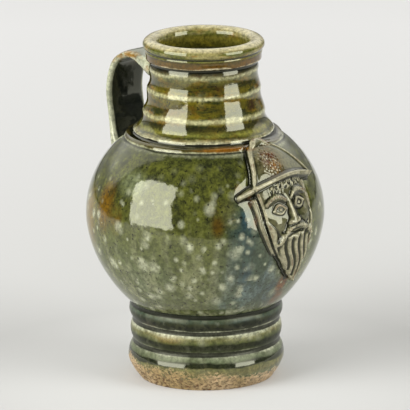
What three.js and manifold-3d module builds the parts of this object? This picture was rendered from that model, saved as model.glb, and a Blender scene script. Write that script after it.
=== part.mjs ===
// A salt-glazed stoneware carafe: a round-bellied jug thrown on the wheel, with a turned ring foot,
// a ribbed neck under a rolled collar, a pulled strap handle, and a sprigged mask of a bearded man
// in a wide-brimmed hat on the belly, opposite the handle.
// All of it is clay luted together and fired as one, so it is one hollow solid.
// Millimetres, +Z up, origin at the centre of the flat underside. The mask looks along -Y.

import * as THREE from "three";
import { mergeVertices } from "three/addons/utils/BufferGeometryUtils.js";
import Module from "manifold-3d";

// Foot: a flat wire-cut underside and three thrown rings, each ending at a groove
const restRadius = 32.3;
const baseRing = { height: 18.2, crestHeight: 10.4, radius: 37.5, grooveRadius: 34.8 };
const middleRing = { height: 10.4, radius: 36.5, grooveRadius: 35.0 };
const upperRing = { height: 8.2, radius: 37.0, grooveRadius: 36.0 };

// Belly: its height from the foot's last groove to the neck, and where it is widest
const bellyHeight = 83.4;
const bellyRadius = 57.1;
const widestHeight = 43.2;
const lowerFullness = 1.8;
const upperFullness = 2.0;

// Bead round the root of the neck
const neckBead = { spread: 3.1, drop: 1.5, height: 1.9 };

// Neck: crests of the throwing ribs, each with its height over the one below and the hollow above it
const rootRib = { pitch: 1.3, radius: 34.1, hollow: 2.1 };
const lowRib = { pitch: 9.2, radius: 29.5, hollow: 1.2 };
const middleRib = { pitch: 10.7, radius: 27.5, hollow: 1.2 };
const topRib = { pitch: 9.8, radius: 26.4, hollow: 0 };
const ribs = [rootRib, lowRib, middleRib, topRib];

// Collar and rolled lip above the groove
const groove = { height: 4.2, radius: 25.5, depthHeight: 0.9 };
const collar = { radius: 28.0, height: 4.3, edge: 0.8 };
const incisedLine = { height: 1.0, depth: 0.6 };
const lip = { radius: 29.1, width: 7.6, height: 1.4, rise: 3.4 };

// Inside
const bellyWall = 5.2;
const neckWall = 4.3;
const footWall = 6.3;
const floorThickness = 8.5;
const floorCorner = 9;

// Handle: a strap pulled from the neck under the collar and luted to the shoulder
const strapWidth = 22.5;
const strapThickness = 4.6;
const fingerRoom = 23.6;
const strapTop = { reach: 15.5, drop: 3.8 };
const neckRoot = { drop: 7.2, width: 27, height: 12, spread: 9 };
const shoulderRoot = { drop: 15.7, width: 26.5, height: 9, spread: 9 };
const widestDrop = 23.5;
const rootDepth = 2.6;

// Mask: a sprig whose middle, the bridge of the nose, sits over the belly's widest level
const maskRise = 10.2;
const maskTilt = THREE.MathUtils.degToRad(8);
const sprigEdge = 1.5;
const sprigBurial = 0.6;
const sprigRoot = 2.6;

// Face, on the usual proportions: five eyes wide, and three equal thirds from hairline to chin
const faceWidth = 29.4;
const faceRelief = 2.3;
const faceCrown = 1.5;
const noseRelief = 3.2;
const eyeWidth = faceWidth / 5;
const faceThird = faceWidth * 0.4;
const browLevel = faceThird * 0.5;
const eyeLevel = browLevel - faceThird * 0.32;
const noseBase = browLevel - faceThird;
const mouthLevel = noseBase - faceThird / 3;

// Beard and side locks
const beardTop = -2;
const beardLength = 34.5;
const beardLean = 0.4;
const beardRelief = 0.8;
const beardStrands = 3.5;
const strandDepth = 1.0;
const lockRelief = 1.7;
const lockWidth = 3.2;

// Hat
const brimLevel = 15.5;
const brimLeft = 24.5;
const brimRight = 25.5;
const brimArch = 3.6;
const brimDroop = 3;
const brimWidth = 5.2;
const brimRelief = 4;
const crownHeight = 22;
const crownPeak = 2.5;
const crownLeft = 12.8;
const crownFlare = 5.5;
const crownRight = 23;
const crownRelief = 2.5;
const crownSwell = 1.7;

// Mesh fineness
const turnSegments = 32;
const bellySteps = 16;
const maskGrid = 1.15;
const strapStations = 20;
const strapSides = 12;

const { clamp, lerp, smoothstep } = THREE.MathUtils;

// Levels that follow from the heights above
const footHeight = baseRing.height + middleRing.height + upperRing.height;
const bellyLevel = footHeight + widestHeight;
const neckLevel = footHeight + bellyHeight;
const ribLevels = ribs.map((_, i) => neckLevel + ribs.slice(0, i + 1).reduce((sum, rib) => sum + rib.pitch, 0));
const collarLevel = ribLevels.at(-1) + groove.height;
const incisedLevel = collarLevel + collar.height;
const lipLevel = incisedLevel + incisedLine.height + lip.height;
const neckBore = groove.radius - neckWall;
const wellRadius = Math.min(baseRing.grooveRadius, middleRing.grooveRadius) - footWall;

// Edge of the shoulder under the bead round the neck
const shoulder = { radius: ribs[0].radius + neckBead.spread + 1.3, level: neckLevel - neckBead.drop * 1.9 };

// Points on a half-round ring between two grooves, each given as a radius and a level.
function ringPoints(from, to, crest, steps) {
  const points = [];
  for (let i = 1; i < steps; i += 1) {
    const t = i / steps;
    const swell = Math.sin(Math.PI * t) ** 0.8;
    const chord = lerp(from[0], to[0], t);
    points.push([chord + (crest - (from[0] + to[0]) / 2) * swell, lerp(from[1], to[1], t)]);
  }
  return points;
}

// Half the height of the superellipse that is bellyRadius wide and passes through a radius and a level.
function bellyHalfHeight(radius, level, fullness) {
  const share = (1 - (radius / bellyRadius) ** fullness) ** (1 / fullness);
  return Math.abs(bellyLevel - level) / share;
}

const lowerHalf = bellyHalfHeight(upperRing.grooveRadius, footHeight, lowerFullness);
const upperHalf = bellyHalfHeight(shoulder.radius, shoulder.level, upperFullness);

// Radius of the belly at a level, for a pot made thinner all round by inset.
function bellyRadiusAt(level, inset = 0) {
  const below = level < bellyLevel;
  const fullness = below ? lowerFullness : upperFullness;
  const half = (below ? lowerHalf : upperHalf) - inset;
  const share = clamp(Math.abs(level - bellyLevel) / half, 0, 1);
  return (bellyRadius - inset) * (1 - share ** fullness) ** (1 / fullness);
}

function footProfile() {
  const { crestHeight: crest, radius, grooveRadius } = baseRing;
  const firstGroove = [grooveRadius, baseRing.height];
  const secondGroove = [middleRing.grooveRadius, baseRing.height + middleRing.height];
  const crease = [upperRing.grooveRadius, footHeight];
  return [
    [restRadius, 0],
    [lerp(restRadius, radius, 0.5), crest * 0.38],
    [lerp(restRadius, radius, 0.86), crest * 0.72],
    [radius, crest],
    [lerp(radius, grooveRadius, 0.2), lerp(crest, baseRing.height, 0.45)],
    [lerp(radius, grooveRadius, 0.62), lerp(crest, baseRing.height, 0.8)],
    firstGroove,
    ...ringPoints(firstGroove, secondGroove, middleRing.radius, 4),
    secondGroove,
    ...ringPoints(secondGroove, crease, upperRing.radius, 4),
    crease,
  ];
}

function bellyProfile() {
  const points = [];
  for (let i = 1; i < bellySteps; i += 1) {
    const level = lerp(footHeight, shoulder.level, i / bellySteps);
    points.push([bellyRadiusAt(level), level]);
  }
  return points;
}

function neckProfile() {
  const root = ribs[0].radius;
  const top = neckLevel - neckBead.drop + neckBead.height / 2;
  const points = [
    [shoulder.radius, shoulder.level],
    [root + neckBead.spread, top],
    [root + neckBead.spread * 0.5, (top + neckLevel) / 2],
    [root, neckLevel],
  ];
  ribs.forEach((rib, i) => {
    points.push([rib.radius, ribLevels[i]]);
    const next = ribs[i + 1];
    if (!next) return;
    for (const t of [0.22, 0.5, 0.78]) {
      const chord = lerp(rib.radius, next.radius, t);
      points.push([chord - rib.hollow * Math.sin(Math.PI * t), lerp(ribLevels[i], ribLevels[i + 1], t)]);
    }
  });
  return points;
}

function collarProfile() {
  const floor = collarLevel - groove.depthHeight;
  const line = incisedLevel + incisedLine.height / 2;
  return [
    [groove.radius, floor - groove.depthHeight],
    [groove.radius, floor],
    [collar.radius - 0.1, collarLevel],
    [collar.radius - 0.3, collarLevel + collar.edge],
    [collar.radius, incisedLevel - 0.3],
    [collar.radius - incisedLine.depth, line],
    [lip.radius - incisedLine.depth, line + incisedLine.height / 2],
  ];
}

// The rolled lip: half an ellipse from its outer side over the top to the bore.
function lipProfile() {
  const centre = lip.radius - lip.width / 2;
  const points = [];
  const steps = 7;
  for (let i = 0; i <= steps; i += 1) {
    const angle = (Math.PI * i) / steps;
    const radius = centre + (lip.width / 2) * Math.cos(angle);
    points.push([radius, lipLevel + lip.rise * Math.sin(angle)]);
  }
  return points;
}

function insideProfile() {
  const throat = ribs[0].radius - ribs[0].hollow - bellyWall;
  const points = [
    [neckBore, lipLevel - lip.rise],
    [neckBore, ribLevels[2]],
    [ribs[1].radius - ribs[1].hollow - bellyWall, ribLevels[1]],
  ];
  const throatShare = Math.sqrt(1 - (throat / (bellyRadius - bellyWall)) ** 2);
  const domeTop = bellyLevel + (upperHalf - bellyWall) * throatShare;
  const wellTop = footHeight + 2;
  const steps = 10;
  for (let i = 0; i <= steps; i += 1) {
    const level = lerp(domeTop, wellTop, i / steps);
    points.push([bellyRadiusAt(level, bellyWall), level]);
  }
  for (const angle of [0, 30, 60, 90]) {
    const turn = THREE.MathUtils.degToRad(angle);
    const radius = wellRadius - floorCorner * (1 - Math.cos(turn));
    points.push([radius, floorThickness + floorCorner * (1 - Math.sin(turn))]);
  }
  return points;
}

const outsideProfile = [
  ...footProfile(),
  ...bellyProfile(),
  ...neckProfile(),
  ...collarProfile(),
  ...lipProfile(),
];

// Radius of the outside at a level, read off the profile.
function outsideRadiusAt(level) {
  const i = outsideProfile.findIndex(([, z]) => z >= level);
  const [r1, z1] = outsideProfile[i];
  const [r0, z0] = outsideProfile[i - 1];
  return lerp(r0, r1, (level - z0) / (z1 - z0));
}

// The pot's wall, without handle or mask.
function potGeometry() {
  const section = [[0, 0], ...outsideProfile, ...insideProfile(), [0, floorThickness]];
  const points = section.map(([r, z]) => new THREE.Vector2(r, z));
  return new THREE.LatheGeometry(points, turnSegments).rotateX(Math.PI / 2);
}

// The strap's centre line in the plane through the pot's axis. It starts inside the neck's wall
// and ends inside the shoulder's.
function strapPath() {
  const neckEnd = { level: collarLevel - neckRoot.drop };
  const potEnd = { level: neckLevel - shoulderRoot.drop };
  neckEnd.radius = outsideRadiusAt(neckEnd.level);
  potEnd.radius = outsideRadiusAt(potEnd.level);
  const top = { radius: neckEnd.radius + strapTop.reach, level: collarLevel - strapTop.drop };
  const widest = {
    radius: ribs[1].radius + fingerRoom + strapThickness / 2,
    level: collarLevel - widestDrop,
  };
  const line = [
    [neckEnd.radius - rootDepth, neckEnd.level],
    [lerp(neckEnd.radius, top.radius, 0.35), lerp(neckEnd.level, top.level, 0.55)],
    [top.radius, top.level],
    [lerp(top.radius, widest.radius, 0.72), lerp(top.level, widest.level, 0.28)],
    [widest.radius, widest.level],
    [lerp(widest.radius, potEnd.radius, 0.28), lerp(widest.level, potEnd.level, 0.55)],
    [potEnd.radius + strapThickness * 0.35, potEnd.level + strapThickness * 0.75],
    [potEnd.radius - rootDepth, potEnd.level - rootDepth],
  ];
  const points = line.map(([radius, level]) => new THREE.Vector3(0, radius, level));
  return new THREE.CatmullRomCurve3(points, false, "centripetal");
}

// A size along the strap that is wider near its two roots.
function flared(plain, atNeck, atShoulder, fromNeck, fromShoulder) {
  const neckShare = Math.exp(-((fromNeck / neckRoot.spread) ** 2));
  const shoulderShare = Math.exp(-((fromShoulder / shoulderRoot.spread) ** 2));
  return plain + (atNeck - plain) * neckShare + (atShoulder - plain) * shoulderShare;
}

// A flat oval across the strap, between an ellipse and a rectangle.
function strapSection(centre, out, halfWidth, halfThickness) {
  const across = new THREE.Vector3(1, 0, 0);
  const squareness = 0.62;
  const ring = [];
  for (let j = 0; j < strapSides; j += 1) {
    const angle = (2 * Math.PI * j) / strapSides;
    const x = Math.sign(Math.cos(angle)) * Math.abs(Math.cos(angle)) ** squareness;
    const y = Math.sign(Math.sin(angle)) * Math.abs(Math.sin(angle)) ** squareness;
    const corner = centre.clone().addScaledVector(across, x * halfWidth);
    ring.push(corner.addScaledVector(out, y * halfThickness));
  }
  return ring;
}

function strapGeometry() {
  const path = strapPath();
  const length = path.getLength();
  const rings = [];
  for (let i = 0; i < strapStations; i += 1) {
    const t = i / (strapStations - 1);
    const out = new THREE.Vector3(1, 0, 0).cross(path.getTangentAt(t));
    const ends = [t * length, (1 - t) * length];
    const width = flared(strapWidth, neckRoot.width, shoulderRoot.width, ...ends);
    const thickness = flared(strapThickness, neckRoot.height, shoulderRoot.height, ...ends);
    rings.push(strapSection(path.getPointAt(t), out, width / 2, thickness / 2));
  }
  return skin(rings);
}

// Closed body skinned over rings of points, all of one length, with a fan across each end.
function skin(rings) {
  const sides = rings[0].length;
  const last = (rings.length - 1) * sides;
  const index = [];
  for (let i = 0; i < last; i += sides) {
    for (let j = 0; j < sides; j += 1) {
      const next = (j + 1) % sides;
      index.push(i + j, i + next, i + sides + j, i + next, i + sides + next, i + sides + j);
    }
  }
  for (let j = 1; j < sides - 1; j += 1) {
    index.push(0, j + 1, j, last, last + j, last + j + 1);
  }
  return indexed(rings.flat(), index);
}

// Relief of the mask. Each function takes a place on the sprig in millimetres from the bridge of the
// nose, a to the viewer's right and b up the face, and gives a height over the pot.

// A rounded bump of unit height.
function bump(a, b, [centreA, centreB], radiusA, radiusB) {
  return Math.exp(-(((a - centreA) / radiusA) ** 2) - ((b - centreB) / radiusB) ** 2);
}

// A ridge of unit height along a quadratic curve, thinner towards its ends by taper.
function stroke(a, b, start, bend, end, halfWidth, taper = 0) {
  const pieces = 8;
  const along = (t, k) => (1 - t) ** 2 * start[k] + 2 * t * (1 - t) * bend[k] + t ** 2 * end[k];
  let best = 0;
  for (let i = 0; i < pieces; i += 1) {
    const from = [along(i / pieces, 0), along(i / pieces, 1)];
    const run = [along((i + 1) / pieces, 0) - from[0], along((i + 1) / pieces, 1) - from[1]];
    const dot = (a - from[0]) * run[0] + (b - from[1]) * run[1];
    const share = clamp(dot / (run[0] ** 2 + run[1] ** 2), 0, 1);
    const apart = Math.hypot(a - from[0] - share * run[0], b - from[1] - share * run[1]);
    const width = halfWidth * (1 - taper * Math.abs((2 * (i + share)) / pieces - 1));
    best = Math.max(best, Math.exp(-((apart / width) ** 2)));
  }
  return best;
}

// Half width and middle of head and beard at a height on the sprig.
function headOutline(b) {
  const run = clamp((beardTop - b) / beardLength, 0, 1);
  return { half: (faceWidth / 2) * (1 - run ** 1.7), middle: beardLean * run ** 2 };
}

// The raised and gently domed ground of the face and beard.
function headPlate(a, b) {
  const { half, middle } = headOutline(b);
  const inside = half - Math.abs(a - middle);
  if (inside <= 0 || b > brimLevel + 1) return 0;
  const dome = 1 - ((a - middle) / half) ** 2;
  return faceRelief * smoothstep(inside, 0, sprigEdge) + faceCrown * dome;
}

// The beard below a line that dips under the mouth, cut into strands that run to its tip.
function beard(a, b) {
  const { half, middle } = headOutline(b);
  const cheekLine = mouthLevel - 1 + faceThird * Math.abs((2 * a) / faceWidth) ** 2.2;
  const grown = smoothstep(cheekLine - b, 0, 1.6);
  const across = (a - middle) / (half / 2 + faceWidth / 4);
  const wave = Math.cos(2 * Math.PI * beardStrands * across);
  const cut = strandDepth * smoothstep(half, 2, 7) * (0.5 - 0.5 * wave);
  return grown * (beardRelief - cut);
}

// The nose: a ridge that widens and rises from the bridge to its base, with two wings.
function nose(side, b) {
  const down = clamp((browLevel - b) / (browLevel - noseBase), 0, 1);
  const halfWidth = lerp(0.22, 0.4, down) * eyeWidth;
  const along = smoothstep(b, noseBase - 0.4, noseBase + 1.4) * (1 - smoothstep(b, browLevel - 1, browLevel + 3));
  const ridge = lerp(0.25, 1, down) * Math.exp(-((side / halfWidth) ** 2)) * along;
  const wing = bump(side, b, [eyeWidth * 0.44, noseBase + 1.6], 1.3, 1.3);
  return noseRelief * ridge + 0.9 * wing;
}

// An open eye in its socket, with its lids and brow.
function eye(side, b) {
  const centre = [eyeWidth, eyeLevel];
  const inner = [eyeWidth * 0.5, eyeLevel];
  const outer = [eyeWidth * 1.6, eyeLevel];
  const socket = bump(side, b, centre, eyeWidth * 0.72, eyeWidth * 0.52);
  const ball = bump(side, b, centre, eyeWidth * 0.44, eyeWidth * 0.3);
  const upperLid = stroke(side, b, inner, [eyeWidth, eyeLevel + 4.6], outer, 0.8);
  const lowerLid = stroke(side, b, inner, [eyeWidth, eyeLevel - 3.8], outer, 0.8);
  const brow = stroke(side, b, [2, browLevel], [eyeWidth, browLevel + 4.4], [eyeWidth * 2, browLevel], 1.3, 0.4);
  return 1.7 * ball - 1.3 * socket + 0.8 * upperLid + 0.6 * lowerLid + 1.2 * brow;
}

// The closed mouth under a moustache that hangs down beside it.
function mouth(side, b) {
  const corner = [faceWidth * 0.15, mouthLevel - 0.5];
  const line = stroke(side, b, [0, mouthLevel], [corner[0] / 2, mouthLevel + 0.2], corner, 0.7);
  const lowerLip = bump(side, b, [0, mouthLevel - 1.6], 3, 1.1);
  const start = [0.8, noseBase - 1];
  const end = [faceWidth * 0.34, mouthLevel - faceThird * 0.28];
  const moustache = stroke(side, b, start, [faceWidth * 0.17, noseBase - 0.6], end, 1.7, 0.45);
  return 0.9 * lowerLip + 1.9 * moustache - 0.7 * line;
}

function features(a, b) {
  const side = Math.abs(a);
  const cheek = bump(side, b, [faceWidth * 0.29, noseBase + 2.4], 3.6, 3.6);
  return nose(side, b) + eye(side, b) + mouth(side, b) + 0.9 * cheek;
}

// Locks of hair that fall beside the face from under the brim.
function locks(a, b) {
  const edge = faceWidth / 2 + 0.5;
  const left = stroke(a, b, [-edge, 8], [-edge - 5.2, -3], [1.4 - edge, -17], lockWidth / 2, 0.3);
  const right = stroke(a, b, [edge, 8], [edge + 3.7, 0], [edge - 0.8, -10], lockWidth / 2, 0.3);
  return lockRelief * Math.max(left, right);
}

// Height of the brim's middle line, which droops to both sides and most to the right.
function brimLine(a) {
  const out = (a - crownPeak) / (a < crownPeak ? brimLeft + crownPeak : brimRight - crownPeak);
  return brimLevel - brimArch * out * out - (out > 0 ? brimDroop * out * out : 0);
}

// How far a place is inside the left of the crown, a quarter ellipse that flares towards the brim.
function insideRoundedCrown(a, up) {
  const halfWidth = crownLeft + crownFlare * Math.max(1 - up / crownHeight, 0) ** 3;
  const share = Math.max(Math.hypot((crownPeak - a) / halfWidth, up / crownHeight), 0.001);
  return Math.hypot(a - crownPeak, up) * (1 / share - 1);
}

// How far a place is inside the right of the crown, which slopes off to the brim.
function insideSlopedCrown(a, up) {
  const out = (a - crownPeak) / crownRight;
  const rise = up / crownHeight;
  const slope = (1.5 * Math.sqrt(out) * crownHeight) / crownRight;
  return ((1 - out ** 1.5 - rise) * crownHeight) / Math.hypot(1, slope);
}

// The slouched crown of the hat: round on the left of its peak and sloping off to the right.
function hatCrown(a, b) {
  const up = b - brimLine(a);
  if (up < 0) return 0;
  const inside = a < crownPeak ? insideRoundedCrown(a, up) : insideSlopedCrown(a, up);
  if (inside <= 0) return 0;
  const swell = bump(a, b, [crownPeak - 1, brimLevel + crownHeight * 0.38], 11, 9);
  return crownRelief * smoothstep(inside, 0, sprigEdge) + crownSwell * swell * smoothstep(inside, 0, 5);
}

function hatBrim(a, b) {
  const out = Math.abs(a - crownPeak) / (a < crownPeak ? brimLeft + crownPeak : brimRight - crownPeak);
  if (out >= 1) return 0;
  const halfWidth = (brimWidth / 2) * (1 - 0.6 * out * out);
  return brimRelief * Math.exp(-(((b - brimLine(a)) / halfWidth) ** 2)) * smoothstep(1 - out, 0, 0.08);
}

function maskRelief(a, b) {
  const plate = headPlate(a, b);
  const face = plate > 0 ? plate + beard(a, b) + features(a, b) * smoothstep(plate, 0.5, 2.5) : 0;
  return Math.max(face, hatCrown(a, b), hatBrim(a, b), locks(a, b), 0);
}

// Slope of the belly's side, as radius gained for each millimetre up.
function bellySlope(level) {
  return bellyRadiusAt(level + 0.5) - bellyRadiusAt(level - 0.5);
}

// A point at a height over the belly, at an angle round from the mask's middle and at a level.
function overBelly(angle, level, height) {
  const slope = bellySlope(level);
  const lean = Math.hypot(1, slope);
  const radius = bellyRadiusAt(level) + height / lean;
  const x = radius * Math.sin(angle);
  return new THREE.Vector3(x, -radius * Math.cos(angle), level - (height * slope) / lean);
}

// Level on the belly at a distance up its surface from the bridge of the nose.
function levelAt(run) {
  const steps = 24;
  let level = bellyLevel + maskRise;
  for (let i = 0; i < steps; i += 1) level += run / steps / Math.hypot(1, bellySlope(level));
  return Math.min(level, neckLevel + ribs[0].pitch);
}

// The sprig: a slab sunk into the wall, with the mask's relief on its outer side. Its grid leans
// with the mask.
function sprigGeometry() {
  const margin = 3;
  const left = -brimLeft - margin;
  const columns = Math.ceil((brimRight + margin - left) / maskGrid);
  const lowest = beardTop - beardLength - margin;
  const rows = Math.ceil((brimLevel + crownHeight + margin - lowest) / maskGrid);
  const outer = [];
  const inner = [];
  for (let j = 0; j <= rows; j += 1) {
    for (let i = 0; i <= columns; i += 1) {
      const a = left + i * maskGrid;
      const b = lowest + j * maskGrid;
      const level = levelAt(b * Math.cos(maskTilt) + a * Math.sin(maskTilt));
      const angle = (a * Math.cos(maskTilt) - b * Math.sin(maskTilt)) / bellyRadiusAt(level);
      outer.push(overBelly(angle, level, maskRelief(a, b) - sprigBurial));
      inner.push(overBelly(angle, level, -sprigRoot));
    }
  }
  return slab(outer, inner, columns + 1);
}

// Closed body between two grids of points with the same number in a row. Each square of the outer
// grid is split along its shorter diagonal.
function slab(outer, inner, across) {
  const under = outer.length;
  const top = under - across;
  const index = [];
  const quad = (a, b, c, d) => index.push(a, b, c, a, c, d);
  for (let row = 0; row < top; row += across) {
    for (let k = row; k < row + across - 1; k += 1) {
      const up = k + across;
      const straight = outer[k].distanceTo(outer[up + 1]) < outer[k + 1].distanceTo(outer[up]);
      if (straight) quad(k, k + 1, up + 1, up);
      else quad(k + 1, up + 1, up, k);
      quad(under + k, under + up, under + up + 1, under + k + 1);
    }
    const end = row + across - 1;
    quad(row, row + across, under + row + across, under + row);
    quad(end, under + end, under + end + across, end + across);
  }
  for (let j = 0; j < across - 1; j += 1) {
    quad(j, under + j, under + j + 1, j + 1);
    quad(top + j, top + j + 1, under + top + j + 1, under + top + j);
  }
  return indexed([...outer, ...inner], index);
}

function indexed(points, index) {
  const geometry = new THREE.BufferGeometry().setFromPoints(points);
  geometry.setIndex(index);
  return geometry;
}

const wasm = await Module();
wasm.setup();

// A closed geometry as a solid, with its shared vertices merged and its empty triangles dropped.
function solidOf(geometry) {
  const bare = geometry.clone();
  bare.deleteAttribute("normal");
  bare.deleteAttribute("uv");
  const merged = mergeVertices(bare, 1e-3);
  const source = merged.index.array;
  const triVerts = [];
  for (let i = 0; i < source.length; i += 3) {
    const [a, b, c] = source.slice(i, i + 3);
    if (a !== b && b !== c && c !== a) triVerts.push(a, b, c);
  }
  const vertProperties = merged.attributes.position.array;
  const build = (indices) =>
    new wasm.Manifold(new wasm.Mesh({ numProp: 3, vertProperties, triVerts: new Uint32Array(indices) }));
  const solid = build(triVerts);
  return solid.volume() > 0 ? solid : build(triVerts.reverse());
}

function geometryOf(solid) {
  const mesh = solid.getMesh();
  const geometry = new THREE.BufferGeometry();
  geometry.setAttribute("position", new THREE.BufferAttribute(mesh.vertProperties, 3));
  geometry.setIndex(new THREE.BufferAttribute(mesh.triVerts, 1));
  geometry.computeVertexNormals();
  return geometry;
}

function carafe() {
  const fired = solidOf(potGeometry()).add(solidOf(strapGeometry())).add(solidOf(sprigGeometry()));
  const glaze = new THREE.MeshStandardMaterial({ color: 0x6f7a52, roughness: 0.2, metalness: 0 });
  const mesh = new THREE.Mesh(geometryOf(fired), glaze);
  mesh.name = "carafe";
  return mesh;
}

const group = new THREE.Group();
group.add(carafe());

export default group;
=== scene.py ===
"""Salt-glazed stoneware carafe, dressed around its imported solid.

A thrown pot with a ribbed neck, a pulled strap and a sprigged mask is one fired piece, so the whole
of it is one fine mesh that stands for the one solid. Sizes are in millimetres, as a potter gives them,
and are turned to metres when a mesh is made. The mask looks along -Y and the strap is on +Y.
"""

import logging
import math
from dataclasses import dataclass, field
from enum import Enum
from functools import partial
from typing import Any, Callable, Sequence

import bmesh
import bpy
import numpy as np
from mathutils import Euler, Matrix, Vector, kdtree

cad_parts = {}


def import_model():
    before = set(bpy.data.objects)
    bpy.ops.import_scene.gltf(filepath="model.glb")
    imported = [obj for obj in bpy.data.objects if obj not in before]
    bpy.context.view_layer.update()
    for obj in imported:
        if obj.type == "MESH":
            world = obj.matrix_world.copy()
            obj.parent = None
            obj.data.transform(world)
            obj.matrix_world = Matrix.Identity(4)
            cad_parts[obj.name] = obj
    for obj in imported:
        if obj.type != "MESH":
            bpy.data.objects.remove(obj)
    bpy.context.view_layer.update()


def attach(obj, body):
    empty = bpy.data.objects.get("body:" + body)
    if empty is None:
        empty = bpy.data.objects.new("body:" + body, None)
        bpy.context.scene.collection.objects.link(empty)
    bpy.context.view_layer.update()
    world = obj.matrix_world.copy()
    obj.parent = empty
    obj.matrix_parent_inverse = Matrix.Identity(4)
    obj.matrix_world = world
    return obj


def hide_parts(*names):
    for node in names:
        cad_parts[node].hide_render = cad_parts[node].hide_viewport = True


MM = 0.001
LOG = logging.getLogger("carafe")

Pair = tuple[float, float]
Faces = list[tuple[int, ...]]


class Surface(Enum):
    """Which part of the pot's skin a mesh belongs to, by its place in the zone attribute."""

    SPRIG = 0
    STRAP = 1
    INSIDE = 2


def linear(hex_colour: str) -> tuple[float, float, float, float]:
    """Turns an sRGB hex colour to linear light.

    Args:
        hex_colour: six hex digits.

    Returns:
        Red, green, blue and an alpha of 1.
    """
    parts = [int(hex_colour[i : i + 2], 16) / 255 for i in (0, 2, 4)]
    light = [p / 12.92 if p <= 0.04045 else ((p + 0.055) / 1.055) ** 2.4 for p in parts]
    return (light[0], light[1], light[2], 1.0)


def smoothstep(low: float, high: float, x: np.ndarray) -> np.ndarray:
    """A soft step from 0 at low to 1 at high.

    Args:
        low: where the step starts.
        high: where it ends.
        x: the values.

    Returns:
        The stepped values.
    """
    t = np.clip((x - low) / (high - low), 0, 1)
    return t * t * (3 - 2 * t)


def flowing(knots: Sequence[Pair], steps: int) -> np.ndarray:
    """Points at even spacing on a smooth curve through knots.

    Args:
        knots: pairs that the curve passes through.
        steps: how many stretches the curve is cut into.

    Returns:
        An array of steps + 1 pairs.
    """
    p = np.array(knots, float)
    if len(p) == 2:
        return p[0] + np.linspace(0, 1, steps + 1)[:, None] * (p[1] - p[0])
    ends = np.vstack([2 * p[0] - p[1], p, 2 * p[-1] - p[-2]])
    dense = []
    per_stretch = 40
    t = np.linspace(0, 1, per_stretch, endpoint=False)[:, None]
    for i in range(1, len(ends) - 2):
        a, b, c, d = ends[i - 1], ends[i], ends[i + 1], ends[i + 2]
        turn = 2 * b + (c - a) * t + (2 * a - 5 * b + 4 * c - d) * t**2 + (3 * b - a - 3 * c + d) * t**3
        dense.append(turn / 2)
    line = np.vstack([*dense, p[-1:]])
    run = np.concatenate([[0], np.cumsum(np.linalg.norm(np.diff(line, axis=0), axis=1))])
    at = np.linspace(0, run[-1], steps + 1)
    return np.column_stack([np.interp(at, run, line[:, 0]), np.interp(at, run, line[:, 1])])


# Settings that many nodes share: a colour laid over another, a soft step, and plain arithmetic.
LAYER = {"data_type": "RGBA", "clamp_factor": True}
EASE = {"interpolation_type": "SMOOTHSTEP"}
TIMES = {"operation": "MULTIPLY"}
PLUS = {"operation": "ADD"}
LESS = {"operation": "SUBTRACT"}
TIMES_PLUS = {"operation": "MULTIPLY_ADD"}
DOT = {"operation": "DOT_PRODUCT"}


def add_node(tree: bpy.types.NodeTree, kind: str, settings: dict[str, Any], inputs: Any,
             output: int | str | None = 0) -> Any:
    """Adds a node with its settings and links.

    Args:
        tree: the material's node tree.
        kind: the node's type name, without the word that they all start with.
        settings: attributes of the node, such as its operation.
        inputs: what feeds each input, by name or number, or in order: a socket or a plain value.
        output: name or number of the output that is wanted, or None where there is none.

    Returns:
        That output.
    """
    node = tree.nodes.new("ShaderNode" + kind)
    for name, value in settings.items():
        setattr(node, name, value)
    for key, value in (inputs.items() if isinstance(inputs, dict) else enumerate(inputs)):
        if isinstance(value, bpy.types.NodeSocket):
            tree.links.new(value, node.inputs[key])
        else:
            node.inputs[key].default_value = value
    return None if output is None else node.outputs[output]


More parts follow.
